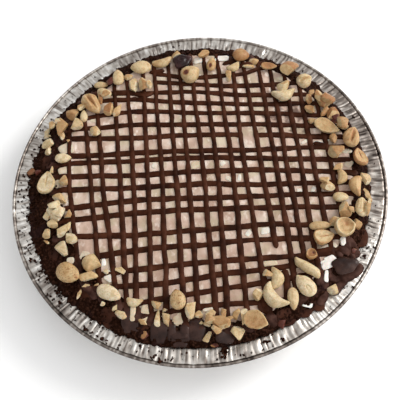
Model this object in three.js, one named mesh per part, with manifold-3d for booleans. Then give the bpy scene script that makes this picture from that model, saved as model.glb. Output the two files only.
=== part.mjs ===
// A 9 inch chocolate peanut butter pie in its foil pan. Millimetres, +Z up.
// The origin is the middle of the pan's base, and the pie stands on z = 0.
//
// foil_pan          thin fluted dish with a crimped flange and a rolled lip
// crumb_crust       dark crumb shell that lines the pan and stands proud of it
// cream_filling     peanut butter cream, with the chocolate lattice and fine nuts set in its top
// chocolate_*       two puddles of set chocolate on the crust
// peanut_NN         roasted peanut halves and chopped pieces scattered round the edge
import * as THREE from "three";
import { mergeVertices } from "three/addons/utils/BufferGeometryUtils.js";
import Module from "manifold-3d";

const wasm = await Module();
wasm.setup();

// Pan
const LIP_RADIUS = 122;
const PAN_MOUTH_RADIUS = 111;
const PAN_BASE_RADIUS = 92;
const FLANGE_Z = 30;
const FOIL = 0.8;
const LIP_WIDTH = 2.4;
const LIP_HEIGHT = 2.2;
const FLUTES = 72;
const FLUTE_DEPTH = 0.7;
const CRIMP_HEIGHT = 0.35;

// Pie
const CLEARANCE = 0.3;
const CRUST_FLOOR = 5;
const CRUST_FOOT_RADIUS = 108.8;
const CRUST_SIDES = 90;
const CRUST_CRAG = 0.8;
const CRUST_FOOT_RISE = 0.6;
const CRUST_SLOPE_POWER = 2.6;
const CRUST_TOP_SHARES = [1, 0.75, 0.4, 0];
const CRUST_SEED = 3;
const CREST_DROP = 1;
const CREAM_Z = 37;
const CREAM_RADIUS = 100.5;
const CREAM_SHORT_SIDE = 195;
const CREAM_SHORTFALL = 11;
const CREAM_SIDE_LEAN = 10;
const CREAM_SHOULDER = 2.5;

// Chocolate lattice
const STRAND_WIDTH = 2.5;
const STRAND_TOP_ACROSS = 0.95;
const STRAND_TOP_ALONG = 1.25;
const STRAND_SET_IN = 1;
const STRAND_MARGIN = 2.5;
const STRAND_STATION = 60;
const EDGE_STEPS = 200;

// Peanuts: how rough each form is, and its height as a share of its width
const PEANUT_ROUGH = { half: 0.04, chip: 0.16, whole: 0.03 };
const PEANUT_HEIGHT = { half: 0.52, chip: 0.66, whole: 0.78 };
const PEANUT_SIDES = 7;
const PEANUT_ROWS = 4;
const PEANUT_TAPER = 0.16;
const PEANUT_UNDERSIDE = 0.45;
const PEANUT_GAP = 1;
const SPREAD_ROUNDS = 60;
const PUSH_MARGIN = 0.02;
const FINE_SEED = 200;
const CHIP_SUNK_SHARE = 0.4;

// Puddles of chocolate on the crust: name, x, y, length, width, height, heading
const PUDDLES = [
  ["chocolate_drop", 1.5, 92.5, 11, 9.5, 4, 0],
  ["chocolate_run", 80.5, -73.5, 15, 9, 3, 20],
];
const PUDDLE_SIDES = 12;
const PUDDLE_ROWS = 6;
const PUDDLE_UNDERSIDE = 0.25;

const MERGE_DISTANCE = 1e-3;

// Strands that run away from the viewer: x at y = +60, 0 and -60
const STRANDS_ALONG = [
  [-81.5, -82.5, -77.5],
  [-71, -68.7, -66],
  [-62, -60.8, -57],
  [-49.5, -50, -50.5],
  [-40.2, -41, -44],
  [-29.5, -31.5, -35],
  [-21.2, -22.5, -25.8],
  [-11.5, -13.5, -16.2],
  [-3.2, -5.3, -7.8],
  [5.5, 4.6, 2.2],
  [14.8, 13.5, 9.8],
  [24.2, 23.5, 20.5],
  [33.5, 31.5, 31.5],
  [42.5, 42.5, 42.5],
  [52.5, 51.8, 50],
  [60, 58.8, 58.3],
  [69, 67.8, 65.2],
  [77.5, 76, 75],
  [87, 86.5, 85],
];

// Strands that run across: y at x = -60, 0 and +60
const STRANDS_ACROSS = [
  [84, 76, 65],
  [76, 68.5, 56],
  [67.5, 59, 48.5],
  [57.5, 50.4, 40.7],
  [48.3, 40.7, 32],
  [39.8, 32, 23.5],
  [26.2, 19.8, 12.6],
  [20, 14.7, 4.8],
  [9.3, 4, -4.7],
  [0.2, -5.6, -14.7],
  [-11.5, -16, -23.7],
  [-19.6, -24, -31.8],
  [-33.3, -38.4, -43.6],
  [-46, -48.1, -52.6],
  [-58.5, -60.3, -63.5],
  [-67.5, -69.2, -70],
  [-79, -78.7, -76],
  [-88, -88, -86],
];

// Peanut pieces: x, y, length, width, heading of the length in degrees, form
const PEANUTS = [
  [-96.7, 8.2, 16, 11.5, 81, "half"],
  [-85.7, 25.7, 10.5, 7, -3, "half"],
  [-84.6, 51.7, 15, 8.5, 100, "chip"],
  [-76.7, 51.8, 9, 8.5, -31, "chip"],
  [-78.2, 59.7, 9, 8.5, 16, "chip"],
  [-70.8, 57.8, 9, 5, 85, "half"],
  [-64.2, 64.5, 18, 11.5, -60, "half"],
  [-57, 74, 10, 9.5, -3, "chip"],
  [-54.8, 60.9, 10, 6.5, 79, "chip"],
  [-58.5, 82.7, 11, 7, -15, "chip"],
  [-46, 86.2, 13.5, 8.5, 91, "half"],
  [-34.8, 77.8, 11.5, 6.5, 86, "chip"],
  [-28.4, 76.8, 11, 8.5, 82, "chip"],
  [-29.1, 92.5, 15, 11, -3, "half"],
  [-14, 94.5, 15, 7, 10, "half"],
  [4.1, 80.4, 13.5, 12, 59, "whole"],
  [20.3, 88.2, 11.5, 6.5, 75, "chip"],
  [41.6, 91.5, 11.5, 11, -9, "half"],
  [36.7, 83.3, 9, 8.5, 27, "chip"],
  [59.7, 79.5, 10.5, 6.5, -9, "chip"],
  [72.8, 75, 12, 11.5, 60, "half"],
  [81.9, 64.2, 11.5, 10.5, 20, "half"],
  [65.5, 51.8, 16.5, 11, -5, "half"],
  [89.9, 44.8, 12, 9, -50, "chip"],
  [95, 32, 11, 8.5, 54, "chip"],
  [88.5, 24.2, 14, 10.5, -42, "half"],
  [99.4, 23.6, 9, 8, -49, "chip"],
  [103.3, 13.4, 15.5, 11, 65, "half"],
  [91, 4.2, 10.5, 10.5, 14, "half"],
  [104.6, -2.9, 14.5, 9.5, 90, "half"],
  [91.3, -14.6, 12.5, 6.5, 82, "half"],
  [98.2, -22.4, 14.5, 7.5, 73, "half"],
  [80.1, -20.6, 10.5, 8, -37, "chip"],
  [87.6, -28.9, 10, 7, -8, "half"],
  [99.1, -37.1, 14, 9, 77, "half"],
  [88.2, -39.3, 10.5, 9, 52, "chip"],
  [85.3, -50.4, 13, 12.5, 8, "whole"],
  [70.7, -46.6, 13, 5.5, -3, "chip"],
  [71.4, -54.9, 13, 10.5, 8, "half"],
  [62, -65.5, 7, 7, -30, "chip"],
  [58.6, -72.9, 17.5, 9, -45, "half"],
  [55.3, -83, 14.5, 8.5, -64, "half"],
  [39.5, -77, 13, 7.5, 79, "half"],
  [35.6, -88.9, 13.5, 10, -55, "half"],
  [46.5, -90.7, 13, 6.5, -95, "half"],
  [23.4, -100.2, 13, 10.5, -28, "half"],
  [2.7, -100, 11, 8, -25, "chip"],
  [-90.9, -14.4, 11.5, 11, 39, "chip"],
  [-88, -26.9, 9.5, 6.5, 60, "chip"],
  [-87.4, -39.3, 11.5, 7.5, -55, "chip"],
  [-69.8, -52.7, 12.5, 10.5, 80, "whole"],
  [-83.7, -57.8, 17.5, 12.5, -35, "whole"],
  [-60.1, -73.4, 16.5, 9, -35, "half"],
  [-20.2, -82.7, 13, 9.5, 96, "whole"],
];

// Small chips that are set into the cream's top
const FINE_PEANUTS = [
  [-48.5, 58.7, 10, 5, 55, "chip"],
  [30.8, 75.7, 9, 4.5, 85, "chip"],
  [82.5, 48.2, 8, 5, 85, "chip"],
  [-75, -41.3, 9, 6, 80, "chip"],
  [-34, -83.8, 6, 5, 0, "chip"],
  [-12.5, -87.8, 8, 6, 70, "chip"],
  [14, -95.3, 8, 6, 80, "chip"],
  [25.8, -86.3, 6, 6, 0, "chip"],
  [-45.5, -81.3, 9, 5, -20, "chip"],
  [33.2, -73.3, 5, 4, 20, "chip"],
  [80.8, 38, 7, 4, -20, "chip"],
];

// A small repeatable random source, from 0 to 1
function randomFrom(seed) {
  let state = seed * 7919 + 17;
  return () => {
    state = (state * 16807) % 2147483647;
    return state / 2147483647;
  };
}

function radians(degrees) {
  return THREE.MathUtils.degToRad(degrees);
}

// How far the cream reaches from the middle in a direction: it falls short on the left
function creamRadius(angle) {
  const lean = Math.max(0, Math.cos(angle - radians(CREAM_SHORT_SIDE)));
  const waves = 0.5 * Math.sin(5 * angle + 1) + 0.4 * Math.sin(9 * angle);
  return CREAM_RADIUS - CREAM_SHORTFALL * lean ** 1.5 + waves;
}

// One closed ring of points: shape(angle, index) gives [radius, z]
function ring(sides, shape) {
  return Array.from({ length: sides }, (_, i) => {
    const angle = (2 * Math.PI * i) / sides;
    const [radius, z] = shape(angle, i);
    return [radius * Math.cos(angle), radius * Math.sin(angle), z];
  });
}

// A closed skin over rings that run from the bottom's middle outwards, up and in again
function skinOverRings(rings, bottomZ, topZ) {
  const sides = rings[0].length;
  const points = [...rings.flat(), [0, 0, bottomZ], [0, 0, topZ]];
  const bottom = points.length - 2;
  const top = points.length - 1;
  const last = (rings.length - 1) * sides;
  const faces = [];
  for (let j = 0; j < sides; j++) {
    const next = (j + 1) % sides;
    for (let i = 0; i < rings.length - 1; i++) {
      const low = i * sides;
      const high = low + sides;
      faces.push(low + j, low + next, high + next);
      faces.push(low + j, high + next, high + j);
    }
    faces.push(bottom, next, j);
    faces.push(top, last + j, last + next);
  }
  const geometry = new THREE.BufferGeometry();
  geometry.setAttribute(
    "position",
    new THREE.Float32BufferAttribute(points.flat(), 3),
  );
  geometry.setIndex(faces);
  return geometry;
}

function solidFrom(geometry) {
  const bare = geometry.clone();
  bare.deleteAttribute("normal");
  bare.deleteAttribute("uv");
  const merged = mergeVertices(bare, MERGE_DISTANCE / 10);
  return new wasm.Manifold(
    new wasm.Mesh({
      numProp: 3,
      vertProperties: new Float32Array(merged.attributes.position.array),
      triVerts: new Uint32Array(merged.index.array),
    }),
  );
}

function geometryFrom(solid) {
  const mesh = solid.getMesh();
  const geometry = new THREE.BufferGeometry();
  geometry.setAttribute(
    "position",
    new THREE.BufferAttribute(new Float32Array(mesh.vertProperties), 3),
  );
  geometry.setIndex(new THREE.BufferAttribute(new Uint32Array(mesh.triVerts), 1));
  return geometry;
}

// The pan's skin: outside up from the base, out under the flange, over the lip and back in
function foilPan() {
  const sides = 2 * FLUTES;
  const fold = (i) => (i % 2 ? 1 : -1);
  const flute = (i) => FLUTE_DEPTH * fold(i);
  const crimp = (i) => CRIMP_HEIGHT * fold(i);
  const lipInner = LIP_RADIUS - LIP_WIDTH;
  const lipMiddleZ = FLANGE_Z - FOIL / 2;
  return skinOverRings(
    [
      ring(sides, () => [PAN_BASE_RADIUS, 0]),
      ring(sides, (_, i) => [PAN_MOUTH_RADIUS + FOIL + flute(i), FLANGE_Z - FOIL]),
      ring(sides, (_, i) => [lipInner, FLANGE_Z - FOIL + crimp(i)]),
      ring(sides, () => [lipInner + LIP_WIDTH / 2, lipMiddleZ - LIP_HEIGHT / 2]),
      ring(sides, () => [LIP_RADIUS, lipMiddleZ]),
      ring(sides, () => [lipInner + LIP_WIDTH / 2, lipMiddleZ + LIP_HEIGHT / 2]),
      ring(sides, (_, i) => [lipInner, FLANGE_Z + crimp(i)]),
      ring(sides, (_, i) => [PAN_MOUTH_RADIUS + flute(i), FLANGE_Z]),
      ring(sides, () => [PAN_BASE_RADIUS - FOIL, FOIL]),
    ],
    0,
    FOIL,
  );
}

// Height of the crust's top, from 0 at the cream's edge to 1 at the foot on the foil
function crustTopZ(share) {
  const crest = CREAM_Z - CREST_DROP;
  const footZ = FLANGE_Z + CRUST_FOOT_RISE;
  return crest - (crest - footZ) * share ** CRUST_SLOPE_POWER;
}

function crumbCrust() {
  const random = randomFrom(CRUST_SEED);
  const crag = () => CRUST_CRAG * (2 * random() - 1);
  const floorZ = FOIL + CLEARANCE;
  const wallRadius = PAN_MOUTH_RADIUS - FLUTE_DEPTH - CLEARANCE;
  const inner = (angle) => creamRadius(angle) + CLEARANCE;
  const topRing = (share) =>
    ring(CRUST_SIDES, (angle) => {
      const from = inner(angle);
      const radius = from + (CRUST_FOOT_RADIUS - from) * share;
      const rough = share > 0 && share < 1;
      return [
        radius + (rough ? crag() : 0),
        crustTopZ(share) + (rough ? crag() : 0),
      ];
    });
  return skinOverRings(
    [
      ring(CRUST_SIDES, () => [PAN_BASE_RADIUS - FOIL - CLEARANCE, floorZ]),
      ring(CRUST_SIDES, () => [wallRadius - 0.6, FLANGE_Z - 0.8]),
      ...CRUST_TOP_SHARES.map(topRing),
      ring(CRUST_SIDES, (angle) => [
        inner(angle) - CREAM_SIDE_LEAN,
        floorZ + CRUST_FLOOR,
      ]),
    ],
    floorZ,
    floorZ + CRUST_FLOOR,
  );
}

function creamBody() {
  const floorZ = FOIL + CLEARANCE + CRUST_FLOOR + CLEARANCE;
  return skinOverRings(
    [
      ring(CRUST_SIDES, (angle) => [creamRadius(angle) - CREAM_SIDE_LEAN, floorZ]),
      ring(CRUST_SIDES, (angle) => [creamRadius(angle), CREAM_Z - CREST_DROP]),
      ring(CRUST_SIDES, (angle) => [creamRadius(angle) - CREAM_SHOULDER, CREAM_Z]),
    ],
    floorZ,
    CREAM_Z,
  );
}

// The stretch of a line, as a share from 0 to 1, that stays inside the cream's top
function insideCream(place) {
  const inside = [];
  for (let i = 0; i <= EDGE_STEPS; i++) {
    const [x, y] = place(i / EDGE_STEPS);
    const reach = creamRadius(Math.atan2(y, x)) - STRAND_MARGIN;
    if (Math.hypot(x, y) < reach) inside.push(i / EDGE_STEPS);
  }
  return [inside[0], inside[inside.length - 1]];
}

// A square-edged bar along [x, y] points, its foot sunk into the cream
function strandBar(points, top) {
  const foot = CREAM_Z - STRAND_SET_IN;
  const half = STRAND_WIDTH / 2;
  const section = [
    [-half, foot],
    [half, foot],
    [half, CREAM_Z + top],
    [-half, CREAM_Z + top],
  ];
  const vertices = [];
  points.forEach(([x, y], i) => {
    const [ax, ay] = points[Math.max(0, i - 1)];
    const [bx, by] = points[Math.min(points.length - 1, i + 1)];
    const along = Math.hypot(bx - ax, by - ay);
    const side = [(ay - by) / along, (bx - ax) / along];
    for (const [offset, z] of section)
      vertices.push(x + side[0] * offset, y + side[1] * offset, z);
  });
  const count = section.length;
  const faces = [];
  for (let i = 0; i < points.length - 1; i++)
    for (let j = 0; j < count; j++) {
      const a = i * count + j;
      const b = i * count + ((j + 1) % count);
      faces.push(a, b, a + count, b, b + count, a + count);
    }
  const end = (points.length - 1) * count;
  for (let j = 1; j < count - 1; j++) {
    faces.push(0, j + 1, j);
    faces.push(end, end + j, end + j + 1);
  }
  const geometry = new THREE.BufferGeometry();
  geometry.setAttribute("position", new THREE.Float32BufferAttribute(vertices, 3));
  geometry.setIndex(faces);
  return solidFrom(geometry);
}

// A strand through three stations, cut off at the cream's edge
function strand(stations, top, point) {
  const reach = CREAM_RADIUS;
  const [low, middle, high] = stations;
  const offset = (s) => {
    const t = s / STRAND_STATION;
    const slope = t < 0 ? middle - low : high - middle;
    return middle + slope * t;
  };
  const place = (share) => {
    const s = -reach + 2 * reach * share;
    return point(s, offset(s));
  };
  const [from, to] = insideCream(place);
  const shares = [from, ...[0.5].filter((s) => s > from && s < to), to];
  return strandBar(shares.map(place), top);
}

// A peanut piece with its length on x, its underside at z = 0 and its back on top
function peanutGeometry(length, width, form, seed) {
  const random = randomFrom(seed);
  const rough = PEANUT_ROUGH[form];
  const height = PEANUT_HEIGHT[form] * width;
  const geometry = new THREE.SphereGeometry(1, PEANUT_SIDES, PEANUT_ROWS);
  geometry.rotateZ(-Math.PI / 2);
  geometry.rotateX(Math.PI / (2 * PEANUT_SIDES));
  geometry.deleteAttribute("normal");
  geometry.deleteAttribute("uv");
  const merged = mergeVertices(geometry, MERGE_DISTANCE);
  const position = merged.attributes.position;
  for (let i = 0; i < position.count; i++) {
    const along = position.getX(i);
    const jitter = () => 1 + rough * (2 * random() - 1);
    const taper = form === "chip" ? 1 : 1 - PEANUT_TAPER * along;
    const underside = position.getZ(i) < 0 ? PEANUT_UNDERSIDE : 1;
    position.setXYZ(
      i,
      (length / 2) * along * jitter(),
      (width / 2) * position.getY(i) * taper * jitter(),
      (height / (1 + PEANUT_UNDERSIDE)) * position.getZ(i) * underside * jitter(),
    );
  }
  merged.computeBoundingBox();
  merged.translate(0, 0, -merged.boundingBox.min.z);
  return merged;
}

// How far an oval piece reaches from its middle in a direction
function ovalReach([, , length, width, heading], direction) {
  const turned = direction - radians(heading);
  const a = length / 2;
  const b = width / 2;
  return (a * b) / Math.hypot(b * Math.cos(turned), a * Math.sin(turned));
}

// Pieces that would cross are pushed apart until there is a thin gap between them
function spreadApart(pieces) {
  const spread = pieces.map((piece) => [...piece]);
  for (let round = 0; round < SPREAD_ROUNDS; round++)
    for (let i = 0; i < spread.length; i++)
      for (let j = i + 1; j < spread.length; j++) {
        const dx = spread[j][0] - spread[i][0];
        const dy = spread[j][1] - spread[i][1];
        const between = Math.hypot(dx, dy);
        const direction = Math.atan2(dy, dx);
        const reaches = ovalReach(spread[i], direction) + ovalReach(spread[j], direction);
        const need = reaches + PEANUT_GAP;
        if (between >= need) continue;
        const push = (need - between) / 2 + PUSH_MARGIN;
        spread[i][0] -= push * Math.cos(direction);
        spread[i][1] -= push * Math.sin(direction);
        spread[j][0] += push * Math.cos(direction);
        spread[j][1] += push * Math.sin(direction);
      }
  return spread;
}

// The lowest height at which a piece clears the cream, the lattice and the crust
function restingZ(x, y, reach) {
  const angle = Math.atan2(y, x);
  const edge = creamRadius(angle);
  const inner = Math.hypot(x, y) - reach;
  if (inner < edge - STRAND_MARGIN) return CREAM_Z + STRAND_TOP_ALONG + CLEARANCE;
  const share = Math.max(0, (inner - edge) / (CRUST_FOOT_RADIUS - edge));
  return crustTopZ(share) + CRUST_CRAG + CLEARANCE;
}

function chocolatePuddle(length, width, height) {
  const geometry = new THREE.SphereGeometry(1, PUDDLE_SIDES, PUDDLE_ROWS);
  geometry.rotateX(Math.PI / 2);
  geometry.deleteAttribute("normal");
  geometry.deleteAttribute("uv");
  const merged = mergeVertices(geometry, MERGE_DISTANCE);
  const position = merged.attributes.position;
  for (let i = 0; i < position.count; i++) {
    const up = position.getZ(i);
    position.setXYZ(
      i,
      (length / 2) * position.getX(i),
      (width / 2) * position.getY(i),
      height * up * (up < 0 ? PUDDLE_UNDERSIDE : 1),
    );
  }
  merged.translate(0, 0, height * PUDDLE_UNDERSIDE);
  return merged;
}

const colours = {
  foil: new THREE.MeshStandardMaterial({ color: 0xc9c7c4, roughness: 0.3, metalness: 1 }),
  crust: new THREE.MeshStandardMaterial({ color: 0x25130d, roughness: 0.9 }),
  cream: new THREE.MeshStandardMaterial({ color: 0xcdbca8, roughness: 0.6 }),
  chocolate: new THREE.MeshStandardMaterial({ color: 0x3c201a, roughness: 0.35 }),
  peanut: new THREE.MeshStandardMaterial({ color: 0xd8b583, roughness: 0.55 }),
};

const pie = new THREE.Group();

function addPiece(name, geometry, material) {
  const mesh = new THREE.Mesh(geometry, material);
  mesh.name = name;
  pie.add(mesh);
  return mesh;
}

function placed(geometry, x, y, z, heading) {
  const turned = geometry.clone();
  turned.rotateZ(radians(heading));
  turned.translate(x, y, z);
  return turned;
}

addPiece("foil_pan", foilPan(), colours.foil);
addPiece("crumb_crust", crumbCrust(), colours.crust);

// The cream with its lattice and the fine nuts, as one solid
let cream = solidFrom(creamBody());
for (const [far, middle, near] of STRANDS_ALONG)
  cream = cream.add(
    strand([near, middle, far], STRAND_TOP_ALONG, (s, x) => [x, s]),
  );
for (const stations of STRANDS_ACROSS)
  cream = cream.add(strand(stations, STRAND_TOP_ACROSS, (s, y) => [s, y]));
FINE_PEANUTS.forEach(([x, y, length, width, heading, form], i) => {
  const chip = peanutGeometry(length, width, form, FINE_SEED + i);
  chip.computeBoundingBox();
  const sunkTo = CREAM_Z - CHIP_SUNK_SHARE * chip.boundingBox.max.z;
  cream = cream.add(solidFrom(placed(chip, x, y, sunkTo, heading)));
});
addPiece("cream_filling", geometryFrom(cream), colours.cream);

for (const [name, x, y, length, width, height, heading] of PUDDLES) {
  const z = restingZ(x, y, width / 2);
  const puddle = chocolatePuddle(length, width, height);
  addPiece(name, placed(puddle, x, y, z, heading), colours.chocolate);
}

spreadApart(PEANUTS).forEach(
  ([x, y, length, width, heading, form], i) => {
    const piece = peanutGeometry(length, width, form, i + 1);
    const z = restingZ(x, y, Math.max(length, width) / 2);
    const name = `peanut_${String(i + 1).padStart(2, "0")}`;
    addPiece(name, placed(piece, x, y, z, heading), colours.peanut);
  },
);

export default pie;
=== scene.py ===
"""A whole chocolate peanut butter pie in its foil pan.

Sizes are millimetres, turned into metres in add_piece. The origin is the middle of the pan's base. x runs
to the right of the picture and y away from the viewer.
"""

import itertools
import math
import random

import bmesh
import bpy
import numpy as np
from mathutils import Matrix, Vector


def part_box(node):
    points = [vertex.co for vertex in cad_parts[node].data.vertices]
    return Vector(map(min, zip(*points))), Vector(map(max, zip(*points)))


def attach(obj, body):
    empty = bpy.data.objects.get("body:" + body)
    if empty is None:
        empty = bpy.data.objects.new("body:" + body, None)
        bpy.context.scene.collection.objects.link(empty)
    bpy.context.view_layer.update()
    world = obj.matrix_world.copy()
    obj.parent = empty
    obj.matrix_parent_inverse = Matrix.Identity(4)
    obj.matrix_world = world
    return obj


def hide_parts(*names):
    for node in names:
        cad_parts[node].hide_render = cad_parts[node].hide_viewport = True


MM = 0.001
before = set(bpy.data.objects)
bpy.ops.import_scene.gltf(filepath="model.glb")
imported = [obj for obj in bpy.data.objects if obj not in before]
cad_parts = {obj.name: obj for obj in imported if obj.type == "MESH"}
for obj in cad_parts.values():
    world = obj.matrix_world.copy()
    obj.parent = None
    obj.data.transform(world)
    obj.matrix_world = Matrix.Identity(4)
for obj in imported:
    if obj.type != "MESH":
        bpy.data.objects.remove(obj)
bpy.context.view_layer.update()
BODY = "root"

# ------------------------------------------------------------------ pan and pie sizes
LIP_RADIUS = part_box("foil_pan")[1].x / MM
MOUTH_RADIUS = 111
BASE_RADIUS = 92
FLANGE_Z = 30
FOIL = 0.2
LIP_BEAD = 0.9
FLUTES = 72
FLUTE_DEPTH = 0.7

# The cream's level and reach, the side where it falls short and by how much, and how far its side leans in
CREAM_Z = 37
CREAM_RADIUS = 100.5
CREAM_SHORT_SIDE = math.radians(195)
CREAM_SHORTFALL = 11
CREAM_SIDE_LEAN = 10
CREAM_FLOOR = 6.4
# The crust falls from its crest beside the cream to its foot on the foil
CRUST_CREST = 36
CRUST_FOOT_Z = 30.6
CRUST_FOOT_RADIUS = 108.8
CRUST_FLOOR = 1.1
CRUST_SLOPE_POWER = 2.6


# ------------------------------------------------------------------ repeatable noise
def hashed(cell, seed):
    """A repeatable value from 0 to 1 for each whole-number cell."""
    mixed = cell[..., 0] * 73856093 ^ cell[..., 1] * 19349663 ^ cell[..., 2] * 83492791
    mixed = (mixed + seed * 668265263) & 0xFFFFFFFF
    mixed = ((mixed ^ (mixed >> 15)) * 2246822519) & 0xFFFFFFFF
    mixed = ((mixed ^ (mixed >> 13)) * 3266489917) & 0xFFFFFFFF
    return ((mixed ^ (mixed >> 16)) & 0xFFFFFF) / 0xFFFFFF


def soft_noise(points, size, seed):
    """Smooth noise from -1 to 1 whose swells are about this size."""
    scaled = np.asarray(points, float) / size
    base = np.floor(scaled).astype(np.int64)
    part = scaled - base
    part = part * part * (3 - 2 * part)
    total = 0
    for corner in itertools.product((0, 1), repeat=3):
        offset = np.array(corner)
        weight = np.prod(np.where(offset, part, 1 - part), axis=-1)
        total = total + weight * hashed(base + offset, seed)
    return 2 * total - 1


def fractal(points, size, seed, octaves=3):
    """Noise of this size with finer and fainter noise on it."""
    return sum(soft_noise(points, size / 2**k, seed + k) / 2**k for k in range(octaves))


def crumbs_over(points, size, seed):
    """Rounded lumps of about this size: 1 on a lump's middle, falling to 0 between lumps."""
    scaled = np.asarray(points, float) / size
    base = np.floor(scaled).astype(np.int64)
    nearest = np.full(base.shape[:-1], 9.0)
    for step in itertools.product((-1, 0, 1), repeat=3):
        cell = base + np.array(step)
        middle = cell + np.stack([hashed(cell, seed + k) for k in range(3)], -1)
        nearest = np.minimum(nearest, ((scaled - middle) ** 2).sum(-1))
    return np.clip(1 - 1.4 * nearest, 0, 1)


def line_noise(along, size, seed):
    """Smooth noise along a line."""
    along = np.asarray(along, float)
    return soft_noise(np.stack([along, 0 * along + 0.37 * size, 0 * along], -1), size, seed)


# ------------------------------------------------------------------ the pie's top surface
def cream_radius(angle):
    """How far the cream reaches from the middle: it falls short on the left."""
    lean = np.maximum(0, np.cos(angle - CREAM_SHORT_SIDE)) ** 1.5
    waves = 0.5 * np.sin(5 * angle + 1) + 0.4 * np.sin(9 * angle)
    return CREAM_RADIUS - CREAM_SHORTFALL * lean + waves


def crust_share(x, y):
    """0 at the cream's edge, 1 at the crust's foot on the foil."""
    edge = cream_radius(np.arctan2(y, x))
    return np.clip((np.hypot(x, y) - edge) / (CRUST_FOOT_RADIUS - edge), 0, 1)


def crust_top(share):
    """The crust's level without its crags, from the cream's edge to its foot."""
    return CRUST_CREST - (CRUST_CREST - CRUST_FOOT_Z) * share**CRUST_SLOPE_POWER


def cream_swell(x, y):
    """The soft unevenness of the cream's top."""
    points = np.stack([x, y, 0 * x], -1)
    return 0.28 * fractal(points, 15, 5) + 0.1 * soft_noise(points, 3.5, 8)


def cream_top(x, y, inset):
    """Height of the cream, which is rounded off beside its edge."""
    shoulder = 1 - np.clip(inset / 3.5, 0, 1)
    return CREAM_Z - 1.3 * shoulder**2 + cream_swell(x, y) * (1 - shoulder)


def pie_top(x, y):
    """Height of the cream or the crust at a place."""
    x = np.asarray(x, float)
    y = np.asarray(y, float)
    inset = cream_radius(np.arctan2(y, x)) - np.hypot(x, y)
    return np.where(inset > 0, cream_top(x, y, inset), crust_top(crust_share(x, y)))


# ------------------------------------------------------------------ materials
def colour(red, green, blue):
    """An sRGB colour, 0 to 255, as a shader colour."""
    parts = [v / 255 for v in (red, green, blue)]
    return [v / 12.92 if v <= 0.04045 else ((v + 0.055) / 1.055) ** 2.4 for v in parts] + [1]


def fill_ramp(node, stops):
    """Give a colour ramp its stops, each a position and a shader colour."""
    elements = node.color_ramp.elements
    while len(elements) < len(stops):
        elements.new(0.5)
    for element, (position, shade) in zip(elements, stops):
        element.position = position
        element.color = shade


class Look:
    """A node material: a shader with noise-driven colour, roughness and relief, in object space."""

    def __init__(self, name, **values):
        self.material = bpy.data.materials.new(name)
        self.material.use_nodes = True
        self.nodes = self.material.node_tree.nodes
        self.place = self.add("TexCoord").outputs["Object"]
        self.shader = self.fill(self.nodes["Principled BSDF"], **values)

    def put(self, value, socket):
        """Join another node's output to an input, or set a plain value there."""
        if isinstance(value, bpy.types.NodeSocket):
            self.material.node_tree.links.new(value, socket)
        else:
            socket.default_value = value

    def fill(self, node, **values):
        """Put each value at the node's input of that name, where a space stands for an underscore."""
        for name, value in values.items():
            self.put(value, node.inputs[name.replace("_", " ")])
        return node

    def add(self, kind, **values):
        return self.fill(self.nodes.new("ShaderNode" + kind), **values)

    def noise(self, size, detail=3, stretch=(1, 1, 1), roughness=0.5):
        """A noise value whose features are about this many millimetres."""
        place = self.add("Mapping", Vector=self.place, Scale=[s / (size * MM) for s in stretch])
        place = place.outputs["Vector"]
        return self.add("TexNoise", Vector=place, Scale=1, Detail=detail, Roughness=roughness).outputs["Fac"]

    def cells(self, size):
        """Distance to the middle of the nearest cell of about this many millimetres."""
        return self.add("TexVoronoi", Vector=self.place, Scale=1 / (size * MM)).outputs["Distance"]

    def along_y(self):
        """How far away from the viewer a point lies, in metres from the middle."""
        return self.add("SeparateXYZ", Vector=self.place).outputs["Y"]

    def attribute(self, name):
        node = self.add("Attribute")
        node.attribute_name = name
        return node.outputs["Fac"]

    def ramp(self, value, *stops):
        """A colour that follows a value through stops, each a position and an sRGB colour."""
        node = self.add("ValToRGB", Fac=value)
        fill_ramp(node, [(position, colour(*shade)) for position, *shade in stops])
        return node.outputs["Color"]

    def mix(self, factor, first, second, kind="MIX"):
        node = self.add("Mix")
        node.data_type = "RGBA"
        node.blend_type = kind
        for value, socket in ((factor, 0), (first, 6), (second, 7)):
            self.put(value, node.inputs[socket])
        return node.outputs[2]

    def spread(self, value, low, high, start=0.3, end=0.7):
        """A value stretched from the start and end given to the low and high given."""
        node = self.add("MapRange", Value=value, From_Min=start, From_Max=end, To_Min=low, To_Max=high)
        return node.outputs["Result"]

    def blotches(self, under, shade, size, strength, start, end, stretch=(1, 1, 1), detail=2):
        """Soft patches of an sRGB colour over another colour."""
        patches = self.spread(self.noise(size, detail, stretch), 0, strength, start, end)
        return self.mix(patches, under, colour(*shade))

    def paint(self, shade):
        self.fill(self.shader, Base_Color=shade)

    def rough(self, value, low, high):
        self.fill(self.shader, Roughness=self.spread(value, low, high))

    def relief(self, *layers):
        """Bump layers, each a value and its depth in millimetres."""
        under = {}
        for value, depth in layers:
            under = {"Normal": self.add("Bump", Distance=depth * MM, Height=value, **under).outputs["Normal"]}
        self.fill(self.shader, **under)


def foil_look():
    look = Look("foil", Metallic=1.0)
    # The tone carries the flange's painted shade and painted streaks of light and shade
    stops = ((0, 255, 253, 249), (0.3, 206, 200, 193), (0.6, 140, 130, 123), (1, 58, 50, 46))
    painted_foil_shading = look.ramp(look.attribute("tone"), *stops)
    grain = look.ramp(look.noise(2.4, 4), (0.34, 198, 192, 186), (0.6, 255, 255, 255))
    look.paint(look.mix(0.45, painted_foil_shading, grain, "MULTIPLY"))
    look.rough(look.noise(5), 0.34, 0.5)
    look.relief((look.noise(2.2, 2), 0.1), (look.noise(0.7, 2), 0.03))
    return look.material


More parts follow.
